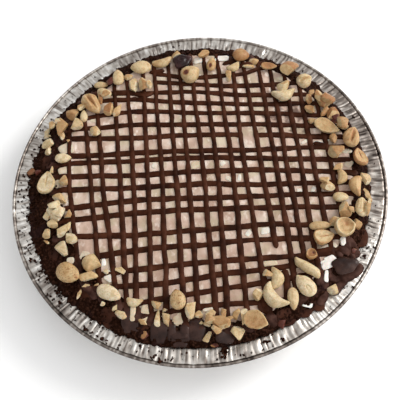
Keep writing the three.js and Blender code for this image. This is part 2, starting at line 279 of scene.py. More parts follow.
def crust_look(name="crumb_crust", light=1.0):
    look = Look(name, Specular_IOR_Level=0.03)
    shades = ((0.34, 17, 5, 1), (0.52, 36, 17, 9), (0.7, 74, 47, 35))
    stops = [(position, *(light * part for part in shade)) for position, *shade in shades]
    grain = look.ramp(look.noise(1.6, 5, roughness=0.65), *stops)
    # Purplish patches: chocolate smeared over the crumbs, with its sheen painted in
    look.paint(look.blotches(grain, (44, 28, 27), 9, 0.6, 0.54, 0.66))
    look.rough(look.noise(3), 0.5, 0.85)
    look.relief((look.noise(1.3, 4), 0.5), (look.cells(0.9), 0.25))
    return look.material


def cream_look():
    look = Look("peanut_butter_cream", Specular_IOR_Level=0.2, Subsurface_Weight=0.1, Subsurface_Scale=0.003,
                Subsurface_Radius=(1, 0.8, 0.6))
    base = look.ramp(look.noise(8, 4), (0.32, 180, 153, 137), (0.5, 196, 170, 154), (0.68, 208, 186, 171))
    whitish = look.blotches(base, (220, 207, 194), 10, 0.6, 0.52, 0.66)
    greenish = look.blotches(whitish, (186, 174, 146), 13, 0.6, 0.5, 0.64, (1, 1.2, 1))
    streaks = look.ramp(look.noise(5, 4, (1, 0.35, 1)), (0.36, 216, 208, 200), (0.6, 255, 255, 255))
    fresh = look.mix(0.55, greenish, streaks, "MULTIPLY")
    # Painted highlights: small pale patches over the cream
    painted_highlights = look.blotches(fresh, (230, 216, 204), 3.6, 0.75, 0.56, 0.7, (1, 0.6, 1), 3)
    # Painted shade: the cream is painted darker towards the near side
    near = look.mix(look.spread(look.along_y(), 1, 0, -0.1, 0.02), painted_highlights, colour(236, 230, 226), "MULTIPLY")
    look.paint(look.mix(look.attribute("tone"), near, colour(78, 54, 46)))
    look.rough(look.noise(4), 0.4, 0.62)
    look.relief((look.noise(3.6, 3), 0.4), (look.noise(0.9, 3), 0.08))
    return look.material


def dab_look():
    look = Look("whipped_cream_dab", Specular_IOR_Level=0.25, Subsurface_Weight=0.12, Subsurface_Scale=0.003)
    plain = look.ramp(look.noise(3), (0.35, 186, 166, 140), (0.65, 202, 184, 158))
    bright = look.ramp(look.noise(3), (0.35, 214, 206, 198), (0.65, 234, 228, 222))
    look.paint(look.mix(look.attribute("tone"), plain, bright))
    look.rough(look.noise(2), 0.35, 0.55)
    look.relief((look.noise(1.5, 3), 0.2))
    return look.material


def chocolate_look(name, dark, mid, pale, roughness=(0.5, 0.68), shine=0.07):
    """Set chocolate: the tone mixes in a greyer brown, a painted sheen, where it lies thin over the crust."""
    look = Look(name, Specular_IOR_Level=shine)
    fresh = look.ramp(look.noise(7, 4), (0.33, *dark), (0.5, *mid), (0.7, *pale))
    # Painted sheen: a greyer brown mixed in by the tone
    painted_sheen_colour = look.ramp(look.noise(4, 3), (0.35, 42, 24, 20), (0.7, 88, 62, 54))
    look.paint(look.mix(look.attribute("tone"), fresh, painted_sheen_colour))
    look.rough(look.noise(2.5), *roughness)
    look.relief((look.noise(2.4, 3), 0.18), (look.noise(0.8, 2), 0.03))
    return look.material


def peanut_look(name="roasted_peanut", grainy=0.35):
    look = Look(name, Specular_IOR_Level=0.25, Subsurface_Weight=0.12, Subsurface_Scale=0.002)
    pale = ((0, 214, 199, 170), (0.25, 199, 179, 141), (0.5, 183, 151, 108))
    tone = look.ramp(look.attribute("tone"), *pale, (0.75, 158, 114, 74), (1, 86, 42, 32))
    mottle = look.ramp(look.noise(2.6, 4), (0.34, 208, 190, 160), (0.56, 255, 255, 255))
    specks = look.ramp(look.noise(0.8, 2), (0.34, 170, 136, 104), (0.46, 255, 255, 255))
    shaded = look.mix(0.6, tone, mottle, "MULTIPLY")
    look.paint(look.mix(grainy, shaded, specks, "MULTIPLY"))
    look.rough(look.noise(1.6), 0.4, 0.6)
    look.relief((look.noise(1.6, 3), 0.2), (look.noise(0.45, 2), 0.05))
    return look.material


# ------------------------------------------------------------------ making pieces
def grid_faces(rows, columns, first=0):
    """Quads over closed rings of points, ring by ring."""
    i, j = np.meshgrid(np.arange(rows - 1), np.arange(columns), indexing="ij")
    here = first + i * columns + j
    beside = first + i * columns + (j + 1) % columns
    return np.stack([here, beside, beside + columns, here + columns], -1).reshape(-1, 4)


def directions(columns):
    """Angles round the pie, and the unit steps that they point in."""
    angles = np.linspace(0, 2 * math.pi, columns, endpoint=False)
    return angles, np.stack([np.cos(angles), np.sin(angles), 0 * angles], -1)


def ring(radius, around, z):
    """One ring of points: a radius, the directions round the pie and a height."""
    return np.stack([radius * around[:, 0], radius * around[:, 1], 0 * around[:, 0] + z], -1)


def fan_faces(ring_start, columns, middle):
    """Triangles from a ring to its middle point."""
    j = np.arange(columns)
    return np.stack([ring_start + j, ring_start + (j + 1) % columns, np.full(columns, middle)], -1)


def closed_skin(rings):
    """Vertices and faces of a closed skin over a stack of rings, with a point in the middle of each end."""
    rows, columns, _ = rings.shape
    ends = np.stack([rings[0].mean(0), rings[-1].mean(0)])
    vertices = np.concatenate([rings.reshape(-1, 3), ends])
    faces = [grid_faces(rows, columns).tolist()]
    faces.append(fan_faces(0, columns, rows * columns).tolist())
    faces.append(fan_faces((rows - 1) * columns, columns, rows * columns + 1).tolist())
    return vertices, sum(faces, [])


def in_scene(name, data):
    """A new object of this mesh, lamp or camera, in the scene."""
    item = bpy.data.objects.new(name, data)
    bpy.context.scene.collection.objects.link(item)
    return item


def add_piece(name, vertices, faces, material, replaces=(), tone=None, sharp=None):
    """One finished piece from millimetre points, riding on the pan's body."""
    mesh = bpy.data.meshes.new(name)
    mesh.from_pydata((np.asarray(vertices) * MM).tolist(), [], faces)
    if tone is not None:
        corners = [v for face in faces for v in face] if len(tone) == len(vertices) else slice(None)
        shades = mesh.attributes.new("tone", "FLOAT", "CORNER")
        shades.data.foreach_set("value", np.asarray(tone, np.float32)[corners])
    work = bmesh.new()
    work.from_mesh(mesh)
    bmesh.ops.recalc_face_normals(work, faces=work.faces)
    work.to_mesh(mesh)
    work.free()
    mesh.shade_smooth()
    if sharp:
        mesh.set_sharp_from_angle(angle=math.radians(sharp))
    mesh.materials.append(material)
    piece = in_scene(name, mesh)
    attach(piece, BODY)
    if replaces:
        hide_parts(*replaces)
    return piece


class Heap:
    """Many small closed shapes gathered into one mesh, with a tone at each corner of each face."""

    def __init__(self):
        self.vertices = []
        self.faces = []
        self.tones = []
        self.count = 0

    def add(self, vertices, faces, tone=0.0):
        """The tone is one number, or one for each vertex, or one for each corner of the faces."""
        corners = [v for face in faces for v in face]
        tone = np.broadcast_to(tone, len(vertices))[corners] if np.size(tone) in (1, len(vertices)) else tone
        self.vertices.append(vertices)
        self.faces.extend([[self.count + v for v in face] for face in faces])
        self.tones.append(tone)
        self.count += len(vertices)

    def piece(self, name, material, slot, replaces=()):
        vertices = np.concatenate(self.vertices)
        return add_piece(name, vertices, self.faces, material, replaces, np.concatenate(self.tones))


def turned(points, heading, tilt=0.0, roll=0.0):
    """Points rolled, tilted and then turned to a heading, all in degrees."""
    matrix = Matrix.Identity(3)
    for angle, axis in ((heading, "Z"), (tilt, "Y"), (roll, "X")):
        matrix = matrix @ Matrix.Rotation(math.radians(angle), 3, axis)
    return points @ np.array(matrix).T


def unit_lump(subdivisions):
    """Vertices and faces of a ball of radius 1."""
    work = bmesh.new()
    bmesh.ops.create_icosphere(work, subdivisions=subdivisions, radius=1)
    vertices = np.array([v.co for v in work.verts])
    faces = [[v.index for v in face.verts] for face in work.faces]
    work.free()
    return vertices, faces


def lump(source, size, subdivisions=1, rough=0.28, flat=0.8):
    """An angular crumb about this many millimetres across."""
    vertices, faces = UNIT_LUMPS[subdivisions]
    spread = np.array([[1 + rough * source.uniform(-1, 1)] for _ in vertices])
    stretch = [source.uniform(0.75, 1.25), source.uniform(0.7, 1.1), flat * source.uniform(0.7, 1.1)]
    points = vertices * spread * stretch * size / 2
    return turned(points, source.uniform(0, 360), source.uniform(-25, 25), source.uniform(-25, 25)), faces


# Unit balls by how finely they are split
UNIT_LUMPS = {fine: unit_lump(fine) for fine in (1, 2, 4)}


# ------------------------------------------------------------------ foil pan
# The crimps by side: heading in degrees, fold spacing from and to, fold height, creases in 10 mm
CRIMPS = [
    (0, 1.4, 2.6, 0.2, 4.6), (40, 1.8, 3.4, 0.16, 3.6), (90, 1.6, 3.0, 0.2, 4.0),
    (140, 1.8, 3.6, 0.26, 3.6), (180, 1.8, 3.8, 0.36, 4.0), (225, 2.0, 4.4, 0.42, 4.0),
    (270, 3.0, 6.4, 0.38, 2.6), (320, 1.6, 3.0, 0.34, 4.6),
]
# Painted shade: how dark the flange is painted by side, for what each side reflects: heading in degrees and
# shade
PAINTED_FOIL_SHADE = [
    (0, 0.68), (20, 0.63), (40, 0.51), (60, 0.36), (80, 0.27), (100, 0.34), (118, 0.26), (140, 0.155),
    (160, 0.34), (180, 0.17), (200, 0.28), (215, 0.4), (240, 0.28), (265, 0.31), (280, 0.35), (295, 0.31),
    (318, 0.13), (340, 0.41), (360, 0.68),
]
# Painted shade beside the lip: how dark the folds beside the lip are painted by side, heading in degrees and
# share
PAINTED_LIP_SHADE = [(0, 0.3), (20, 0.1), (60, 0.1), (90, 0.5), (150, 1), (200, 1), (330, 1), (360, 0.3)]
# How much darker creases, streaks and unevenness look: painted shade in the creases, painted streaks of light
# and shade, and mottling with the unevenness
CREASE_SHADE = 0.9
STREAK_SHADE = 0.36
ROUGH_SHADE = 0.12
FOIL_COLUMN = 0.55
BASE_Z = 0.35
FOOT_BEND = 2.6
GROOVE_DEPTH = 0.55


def crimp_at(angle):
    """The crimping of the nearest side."""
    heading = math.degrees(angle) % 360
    return min(CRIMPS, key=lambda side: abs((side[0] - heading + 180) % 360 - 180))


def make_folds(source):
    """Angles round the flange and the foil's lift at each: an uneven zigzag of folds."""
    place, fold = 0.0, []
    around = 2 * math.pi * MOUTH_RADIUS
    up = 1
    while place < around:
        _, low, high, height, _ = crimp_at(place / MOUTH_RADIUS)
        fold.append((place, up * height * source.uniform(0.35, 1.0)))
        place += source.uniform(low, high) * source.choice((0.3, 0.5, 0.7))
        up = -up
    places = np.array([p for p, _ in fold] + [around])
    lifts = np.array([h for _, h in fold] + [fold[0][1]])
    columns = np.arange(0, around - FOIL_COLUMN / 2, FOIL_COLUMN)
    return columns / MOUTH_RADIUS, np.interp(columns, places, lifts)


def make_creases(source):
    """Narrow creases across the flange: angle, depth, half width, and start and end from mouth to lip."""
    creases = []
    place = 0.0
    while place < 2 * math.pi * MOUTH_RADIUS:
        *_, crowd = crimp_at(place / MOUTH_RADIUS)
        start = source.choice((-0.2, -0.2, 0.1, 0.4))
        depth, half = source.uniform(0.15, 0.6), source.uniform(0.25, 0.5)
        creases.append((place / MOUTH_RADIUS, depth, half, start, start + source.uniform(0.5, 1.3)))
        place += 10 / crowd * source.uniform(0.3, 1.7)
    return creases


def pan_path():
    """The foil from the pan's middle to its lip: radius, height, crimp share, flute share and darkness, which
    is painted shade at the mouth, in the groove and round the lip's bead.
    """
    base = [[radius, BASE_Z, 0, 0, 0] for radius in (1, 30, 60, 84)]
    foot = []
    for t in np.linspace(0, 1.0, 4):
        radius = BASE_RADIUS - FOOT_BEND * (1 - math.sin(t))
        foot.append([radius, BASE_Z + FOOT_BEND * (1 - math.cos(t)), 0, 0, 0])
    wall_top = (MOUTH_RADIUS - 1.5, FLANGE_Z - 1.5)
    wall = []
    for share in np.linspace(0.1, 1, 8):
        radius = foot[-1][0] + (wall_top[0] - foot[-1][0]) * share
        height = foot[-1][1] + (wall_top[1] - foot[-1][1]) * share
        wall.append([radius, height, 0, share, 0])
    mouth = [
        [MOUTH_RADIUS - 1.1, FLANGE_Z - 0.65, 0.2, 0.9, 0.2],
        [MOUTH_RADIUS - 0.3, FLANGE_Z - 0.12, 0.5, 0.6, 0.1],
    ]
    bead_middle = LIP_RADIUS - LIP_BEAD
    first, last = MOUTH_RADIUS + 0.5, bead_middle - LIP_BEAD - 0.5
    flange = []
    for radius in np.linspace(first, last, 9):
        outward = (radius - first) / (last - first)
        crimp = min(1, 0.7 + 2 * outward) * (1 - 0.45 * max(0, outward - 0.5) / 0.5)
        flange.append([radius, FLANGE_Z, crimp, 0.3, 0])
    # Painted shade in the groove inside the lip's bead
    groove = [[last + 0.3, FLANGE_Z - GROOVE_DEPTH, 0.3, 0, 0.45]]
    lip = []
    for heading in np.linspace(175, -150, 10):
        t = math.radians(heading)
        # Painted shade round the bead, darkest on its outer side and underside
        dark = 0.35 if heading > 130 else 0.3 if heading > 60 else 0.4 if heading > 20 else 0.9
        height = FLANGE_Z - 0.1 + LIP_BEAD * math.sin(t)
        lip.append([bead_middle + LIP_BEAD * math.cos(t), height, 0.12, 0, dark])
    return base + foot + wall + mouth + flange + groove + lip


def crease_depth(creases, angles, radius, outward):
    """How deep the creases cut into the foil at one ring, this far out from mouth to lip."""
    total = np.zeros_like(angles)
    for angle, depth, half, start, end in creases:
        share = np.clip((outward - start) * 4, 0, 1) * np.clip((end - outward) * 4, 0, 1)
        if share:
            total += depth * share * np.exp(-(((angles - angle) * radius / half) ** 2))
    return total


def make_foil_pan():
    source = random.Random(11)
    angles, lift = make_folds(source)
    creases = make_creases(source)
    width = LIP_RADIUS - MOUTH_RADIUS
    skew = 0.02 * line_noise(angles * 60, 24, 3)
    # Noise lines for painted streaks of light and shade along the flange
    streaks = [line_noise(angles * LIP_RADIUS, 1.2, 13 + k) for k in (0, 1, 2)]
    # Painted shade by side of the flange and beside the lip
    shade = np.interp(np.degrees(angles), *zip(*PAINTED_FOIL_SHADE))
    lip_shade = np.interp(np.degrees(angles), *zip(*PAINTED_LIP_SHADE))
    rings, tones = [], []
    for radius, height, crimp, flute, dark in pan_path():
        outward = (radius - MOUTH_RADIUS) / width
        turn = angles + skew * crimp * outward
        pleat = 2 / math.pi * np.arcsin(np.cos(FLUTES * turn))
        reach = radius - FLUTE_DEPTH * flute * pleat
        x, y = reach * np.cos(turn), reach * np.sin(turn)
        rough = fractal(np.stack([x, y, 0 * x], -1), 5, 21, 3)
        crease = crease_depth(creases, angles, radius, outward) if crimp else 0 * angles
        warp = 0.3 * line_noise(angles * LIP_RADIUS, 60, 9) if outward > 0 else 0
        raised = 0.8 * GROOVE_DEPTH * (1 - lip_shade) if height == FLANGE_Z - GROOVE_DEPTH else 0
        rings.append(np.stack([x, y, height + raised + crimp * (lift + 0.32 * rough + warp - crease)], -1))
        weights = np.clip(1 - np.abs(2 * outward - np.arange(3)), 0, 1)
        # Painted streaks of light and shade, painted shade in the creases, and mottling with the unevenness
        streak = sum(weight * line for weight, line in zip(weights, streaks)) * (crimp > 0)
        painted_shade_and_mottle = CREASE_SHADE * crease * min(1, 3 * crimp) + STREAK_SHADE * streak + ROUGH_SHADE * rough
        tones.append(np.clip(shade + dark * lip_shade + painted_shade_and_mottle, 0, 1))
    rings = np.array(rings)
    rows, columns, _ = rings.shape
    vertices = np.concatenate([rings.reshape(-1, 3), [[0, 0, rings[0, 0, 2]]]])
    faces = grid_faces(rows, columns).tolist() + fan_faces(0, columns, rows * columns).tolist()
    tone = np.concatenate([np.concatenate(tones), [0]])
    pan = add_piece("foil_dish", vertices, faces, foil_look(), ["foil_pan"], tone, 60)
    sheet = pan.modifiers.new("sheet", "SOLIDIFY")
    sheet.thickness = FOIL * MM
    sheet.offset = 0


# ------------------------------------------------------------------ crust
CRUST_COLUMNS = 1100
CRUST_TOP_RINGS = 64
CRUST_CRUMBS = 3800
# How far the crust reaches in under the cream's edge
CRUST_UNDER = 1.5


def make_crust(material):
    angles, around = directions(CRUST_COLUMNS)
    edge = cream_radius(angles)
    foot = CRUST_FOOT_RADIUS + 1.6 + 0.9 * fractal(around * CRUST_FOOT_RADIUS, 7, 31)
    left = np.maximum(0, -np.cos(angles - 0.25)) ** 2
    foot += (1.6 + 1.6 * left) * (crumbs_over(around * CRUST_FOOT_RADIUS, 3.2, 37) - 0.35) + 0.4 * left
    low = BASE_RADIUS - 2
    wall = MOUTH_RADIUS - FLUTE_DEPTH - 2.2
    rings = []
    for share in (0, 0.5, 0.93):
        rings.append(ring(low + (wall - low) * share, around, CRUST_FLOOR + (FLANGE_Z - CRUST_FLOOR) * share))
    for share in np.linspace(1, 0, CRUST_TOP_RINGS):
        points = ring(edge - CRUST_UNDER + (foot - edge + CRUST_UNDER) * share, around, crust_top(share))
        crags = 1.3 * (crumbs_over(points, 4.2, 41) - 0.4) + 0.9 * (crumbs_over(points, 2.0, 47) - 0.4)
        crags += 0.7 * fractal(points, 9, 43)
        crags *= np.clip(share * 8, 0, 1)
        points[:, 2] += crags
        points[:, :2] += around[:, :2] * (0.35 * share * crags)[:, None]
        if share == 1:
            points[:, 2] = FLANGE_Z - 0.2
        rings.append(points)
    rings.append(ring(edge - CRUST_UNDER - CREAM_SIDE_LEAN, around, CREAM_FLOOR - 0.4))
    vertices, faces = closed_skin(np.array(rings))
    add_piece("crumb_shell", vertices, faces, material, ["crumb_crust"])


def scatter_crust_crumbs(material):
    source = random.Random(23)
    heap = Heap()
    while len(heap.vertices) < CRUST_CRUMBS:
        angle = source.uniform(0, 2 * math.pi)
        edge = float(cream_radius(angle))
        share = source.random() ** 0.8
        left = max(0, -math.cos(angle - 0.25)) ** 2
        radius = edge + 0.5 + (CRUST_FOOT_RADIUS + 0.4 + 4.5 * left * source.random() ** 2 - edge) * share
        crowd = (CRUST_FOOT_RADIUS - edge) / (CREAM_SHORTFALL + CRUST_FOOT_RADIUS - CREAM_RADIUS)
        if source.random() > crowd:
            continue
        x, y = radius * math.cos(angle), radius * math.sin(angle)
        size = source.choice((0.9, 1.2, 1.6, 2.1, 2.8)) * source.uniform(0.85, 1.15)
        points, faces = lump(source, size)
        z = float(pie_top(x, y)) + source.uniform(-0.1, 0.5)
        heap.add(points + [x, y, z], faces, source.random())
    heap.piece("crust_crumbs", material, "crust")


# Crumbs that fell on the flange: x, y, size
FLANGE_CRUMBS = [
    (-77, -90, 3.6), (-74, -92.5, 2.4), (-67, -97, 3.2), (-70, -95, 2), (-80.5, -80, 1.4), (-82, -77, 1.2),
    (95, -66, 2.8), (98, -61, 2.2), (102, -61, 2), (92, -73, 2.1), (94, -77, 1.7), (83.5, -85, 2),
    (64, -94, 1.6), (110.5, 34, 1.9), (84, 79, 1.7), (-5, 115.5, 1.8), (-1, 116, 1.4), (-14, 115, 1.2),
    (-36, -113, 3.4), (-33, -114, 2.4), (-39, -112, 2.6), (-28, -115, 2), (-45, -104.5, 2.2),
    (-48, -108, 1.2), (-33, -109.5, 1.3), (-65, -99, 1.8), (-58, -104, 1.4), (1.5, -111.5, 5),
    (1.8, -114.5, 4), (2.2, -117, 3), (9, -116, 1.3), (12.5, -117.5, 2.4), (18, -116.5, 1.4),
    (27, -111.5, 2.4), (30, -111.5, 1.7), (31, -114, 1.5), (37.5, -112, 3), (25, -115.5, 1.2),
    (-103, 57, 2.2), (-107.5, 41, 2.4), (-114.5, 5, 1.8), (-115.5, 2, 1.6), (-117, -19, 1.6),
    (-112, -33, 2), (-113, -36, 1.8), (-110, -40, 2.6), (-94, -64.5, 2.4), (-96, -68.5, 1.8),
    (-92, -71, 2.6), (-99.5, -65, 1.6), (-106, -51, 1.6), (-109, 24, 3.4), (-111, 12, 2.2),
    (-110.5, -8, 2.4), (-109.5, -22, 2.6), (-111, -30, 2), (-106, -42, 2.4), (-103, -49, 2), (-107, 33, 3),
    (-104, 43, 2.6), (-100, 50, 2.8),
]
FLANGE_SPECKS = 760


def scatter_flange_crumbs(material):
    source = random.Random(29)
    heap = Heap()
    for x, y, size in FLANGE_CRUMBS:
        for _ in range(4):
            bit = size * source.uniform(0.35, 0.7)
            points, faces = lump(source, bit, 2, 0.25, 0.7)
            points += [x + source.gauss(0, size / 4), y + source.gauss(0, size / 4), FLANGE_Z + 0.35 * bit]
            heap.add(points, faces, source.random())
    for _ in range(FLANGE_SPECKS):
        side = source.random()
        left = side < 0.55
        if left:
            heading = source.gauss(200, 34)
        else:
            heading = source.uniform(0, 360) if side < 0.8 else source.gauss(327, 7)
        angle = math.radians(heading)
        radius = MOUTH_RADIUS - 0.8 + 8.5 * source.random() ** 2.2
        size = source.choice((0.35, 0.45, 0.6, 0.8, 1.1, 1.5 if left else 0.5))
        points, faces = lump(source, size)
        points += [radius * math.cos(angle), radius * math.sin(angle), FLANGE_Z + 0.25 + 0.25 * size]
        heap.add(points, faces, source.random())
    heap.piece("flange_crumbs", material, "crust")


# ------------------------------------------------------------------ cream
CREAM_COLUMNS = 620
CREAM_RINGS = 150


def make_cream(material):
    angles, around = directions(CREAM_COLUMNS)
    along = angles * 100
    edge = cream_radius(angles) + 0.5 * line_noise(along, 6, 51) + 0.4 * line_noise(along, 2.4, 52)
    rings = []
    for radius, z in ((edge - CREAM_SIDE_LEAN, CREAM_FLOOR), (edge - 3, 27), (edge, CRUST_CREST - 1.5)):
        rings.append(ring(radius, around, z))
    for share in np.linspace(1, 0.01, CREAM_RINGS):
        x, y = edge * share * around[:, 0], edge * share * around[:, 1]
        rings.append(np.stack([x, y, cream_top(x, y, edge * (1 - share))], -1))
    vertices, faces = closed_skin(np.array(rings))
    tone = smears(vertices)
    add_piece("peanut_butter_cream", vertices, faces, material, ["cream_filling"], tone)


# Where the drizzle smeared thinly over the cream: x, y, reach, strength
SMEARED = [
    (58, 40, 13, 1), (70, 33, 13, 0.95), (34, 75, 10, 0.7), (66, 58, 11, 0.9), (70, -55, 10, 0.5),
    (-60, 78, 9, 0.6),
]


def smear_cover(x, y):
    """How likely smears are at a place, 0 to 1."""
    cover = 0 * x
    for middle_x, middle_y, reach, strength in SMEARED:
        cover = np.maximum(cover, strength * np.exp(-((x - middle_x) ** 2 + (y - middle_y) ** 2) / reach**2))
    return cover


def smears(points):
    """How much thin chocolate lies over the cream, 0 to 1."""
    cover = smear_cover(points[:, 0], points[:, 1])
    patches = fractal(points, 5, 81) + 0.4 * soft_noise(points, 2, 83)
    return np.clip((patches + 1.25 * cover - 0.85) * 2.4, 0, 1) * np.clip(cover * 2, 0, 1) * 0.8


# Bare cream between the nuts and the crust: x, y, length, width, heading, and 0 for plain to 1 for whitest
CREAM_DABS = [
    (-84.5, 34.5, 9.5, 9, 20, 0.15), (-35.4, 79.1, 9, 6, 90, 0.1), (-83.3, -47.8, 5, 4.4, 0, 0.2),
    (-76, -48.5, 5.6, 3.8, 80, 0.2), (-47.2, -86.2, 10, 3.3, 88, 0), (-39.8, -87.2, 12, 6, 85, 0),
    (-20.7, -93.3, 8.6, 8.2, 82, 0), (-11.5, -95.5, 5, 1.4, 85, 0.5), (-2.7, -89.8, 7.6, 3.1, 5, 0.3),
    (12.4, 94.3, 8.5, 5.5, 0, 0.6), (28.5, 93.5, 9.5, 5, -8, 0.9), (66.9, 69.7, 6, 3.1, 10, 0.1),
    (72.3, -69.9, 12, 7.6, 15, 1), (82.7, -58.1, 6.2, 3.3, 80, 1), (68.4, -78.5, 6.2, 2.7, 80, 1),
    (54.6, -93.2, 6, 4, -30, 1), (97.8, -4.8, 6, 5, 60, 0.2), (99.1, 4.9, 6, 3.1, 0, 0.2),
    (72.8, -60.9, 13, 4.3, 8, 0.3), (36.9, -66.1, 8.7, 3.7, 0, 0), (-86.6, -4.3, 7.4, 5.4, 85, 0),
    (-86.7, 17.7, 7.1, 5.6, 10, 0.1), (-64.5, 55.1, 6, 4.6, 0, 0.15), (-63.1, -51.2, 5.6, 2.5, 80, 1),
    (-74.5, -45.5, 6, 5.5, 70, 0.15), (-59.8, -61, 7, 6, 60, 0.6), (46, 86, 7, 4, 20, 0.1),
    (88, 16, 5, 4, 30, 0.3), (-91, 8, 6, 3, 80, 0.1), (26.9, -44.6, 5, 3.6, 40, 0.6),
    (37.5, -44.3, 5.5, 4.5, 0, 0.7), (71.9, -20.1, 5, 3, 60, 0.6), (63.2, -19.7, 4.5, 4, 80, 0.5),
    (27.2, -4.3, 5, 2.2, 70, 0.7), (18.1, 7.5, 4, 3, 20, 0.5), (21, -5, 6, 3, -40, 0.4),
    (-26.6, 12.3, 4, 3.5, 60, 0.4), (81.8, 14.6, 6, 2, -20, 0.7), (73, 15.9, 5, 2.4, 30, 0.5),
    (0.3, 9.2, 6, 5.6, 0, 0),
]


def dab_base(x, y):
    """The level of a dab's middle: on the crust it stands clear of the crumbs."""
    return float(pie_top(x, y)) + 0.05 + 1.5 * min(1, 6 * float(crust_share(x, y)))


def make_cream_dabs(material):
    source = random.Random(31)
    heap = Heap()
    for x, y, length, width, heading, white in CREAM_DABS:
        vertices, faces = UNIT_LUMPS[4]
        squared = np.sign(vertices[:, :2]) * np.abs(vertices[:, :2]) ** 0.55
        thick = 0.6 if length > 6 else 0.3
        points = np.column_stack([squared, vertices[:, 2]]) * [length / 2, width / 2, thick]
        points[:, :2] *= (1 + (0.12 + 0.2 * white) * fractal(points + [x, y, 0], 4, 61, 2))[:, None]
        points = turned(points, heading + source.uniform(-8, 8)) @ ground_tilt(x, y).T
        heap.add(points + [x, y, dab_base(x, y) + 0.5 * white * (length > 6)], faces, white)
    heap.piece("cream_dabs", material, "cream")


# ------------------------------------------------------------------ chocolate lattice
STRAND_STEP = 1.1
ACROSS_HEIGHT = 1.0
ALONG_HEIGHT = 1.2
POURED_HEIGHT = 1.5
TONGUE_HEIGHT = 1.3
ALONG_STATIONS = (-60, 0, 60)
ACROSS_STATIONS = (-75, -40, 0, 40, 75)

# Half of a strand's section, from its foot to its top: steps to the side and up
HALF_SECTION = [(-1, -1.1), (-0.99, 0.1), (-0.86, 0.58), (-0.5, 0.92)]
STRAND_SECTION = HALF_SECTION + [(0, 1)] + [(-across, up) for across, up in HALF_SECTION[::-1]]

# Strands that run away from the viewer: x at y = -60, 0 and 60
STRANDS_ALONG = [
    (-77.5, -82.5, -81.5), (-66, -68.7, -71), (-57, -60.8, -62), (-50.5, -50, -49.5), (-44, -41, -40.2),
    (-35, -31.5, -29.5), (-25.8, -22.5, -21.2), (-16.2, -13.5, -11.5), (-7.8, -5.3, -3.2), (2.2, 4.6, 5.5),
    (9.8, 13.5, 14.8), (20.5, 23.5, 24.2), (31.5, 31.5, 33.5), (42.5, 42.5, 42.5), (50, 51.8, 52.5),
    (58.3, 58.8, 60), (65.2, 67.8, 69), (75, 76, 77.5), (85, 86.5, 87),
]
# Strands that run across: y at x = -75, -40, 0, 40 and 75
STRANDS_ACROSS = [
    (98, 94, 81.3, 77.5, 76), (92, 85, 75.2, 67.3, 64), (80, 73.2, 68.5, 59.6, 54),
    (71, 67.9, 59.1, 51.6, 46.5), (56.5, 57.3, 50.5, 44.2, 37.5), (49, 46.4, 40.8, 34.7, 28.5),
    (40.8, 36.2, 32, 26.4, 20), (27.4, 24, 19.8, 14.7, 11), (21.5, 18.2, 14.6, 8.2, 2.2),
    (11.3, 7, 4, -0.8, -7), (1.5, -2.2, -5.5, -11.7, -15.7), (-11.2, -11.7, -16, -20, -23.7),
    (-20, -20.9, -24, -28.5, -33.3), (-32.3, -36, -38.4, -40.4, -45.5), (-47.5, -46.5, -48.2, -50.3, -54),
    (-59.5, -59.2, -60.2, -62.7, -65), (-66.5, -69.6, -69.3, -69.5, -69), (-81, -80.3, -78.8, -77.4, -75),
    (-89, -88.5, -88, -90, -90),
]
# A strand that starts or stops short: its number, from, to
SHORT_ALONG = {13: (-58, 110)}
SHORT_ACROSS = {0: (-22, 34), 1: (-22, 110), 16: (-112, 66)}
# A gap in a strand that runs across: its number, from, to; a gap past the pie leaves the strand whole
BROKEN_ACROSS = {6: (33.5, 42.5)}
GAP_PAST_PIE = (200, 200)


def through_stations(stations, values, at):
    """A smooth line through the stations, straight beyond them."""
    stations = np.array(stations, float)
    values = np.array(values, float)
    slopes = np.gradient(values, stations)
    index = np.clip(np.searchsorted(stations, at) - 1, 0, len(stations) - 2)
    gap = stations[index + 1] - stations[index]
    t = (at - stations[index]) / gap
    curve = ((2 * t**3 - 3 * t**2 + 1) * values[index] + (t**3 - 2 * t**2 + t) * gap * slopes[index]
             + (3 * t**2 - 2 * t**3) * values[index + 1] + (t**3 - t**2) * gap * slopes[index + 1])
    before = values[0] + slopes[0] * (at - stations[0])
    after = values[-1] + slopes[-1] * (at - stations[-1])
    return np.where(at < stations[0], before, np.where(at > stations[-1], after, curve))


def side_of(line):
    """Unit steps to the side all along a line of [x, y] points."""
    along = np.gradient(line, axis=0)
    along /= np.linalg.norm(along, axis=1)[:, None]
    return np.stack([-along[:, 1], along[:, 0]], -1)


def strand_skin(line, width, height, base):
    """A rounded strand along [x, y] points; width, height and base level may vary along it."""
    count = len(line)
    side = side_of(line)
    taper = np.ones(count)
    end = np.arange(count) * STRAND_STEP
    for distance in (end, end[::-1]):
        taper *= np.sqrt(np.clip(distance / 1.6 + 0.04, 0.04, 1))
    rings = []
    for across, up in STRAND_SECTION:
        place = line + side * (across * width / 2 * taper)[:, None]
        level = base + up * height * np.where(up > 0, taper, 1)
        rings.append(np.column_stack([place, level]))
    rings = np.array(rings).transpose(1, 0, 2)
    vertices = rings.reshape(-1, 3)
    per = len(STRAND_SECTION)
    faces = grid_faces(count, per).tolist()
    faces.append(list(range(per)))
    faces.append(list(range((count - 1) * per, count * per)))
    return vertices, faces


def wobbled(line, seed):
    """A hand-piped line: it wanders a little."""
    at = np.arange(len(line)) * STRAND_STEP
    shift = 0.45 * line_noise(at, 17, seed) + 0.25 * line_noise(at, 5, seed + 1)
    return line + side_of(line) * shift[:, None]


def pie_reach(angle, near, sideways):
    """How far from the middle a strand runs before it ends on the crust."""
    past = near * np.maximum(0, -np.sin(angle)) + sideways * np.maximum(0, -np.cos(angle))
    return cream_radius(angle) + 2.5 + past


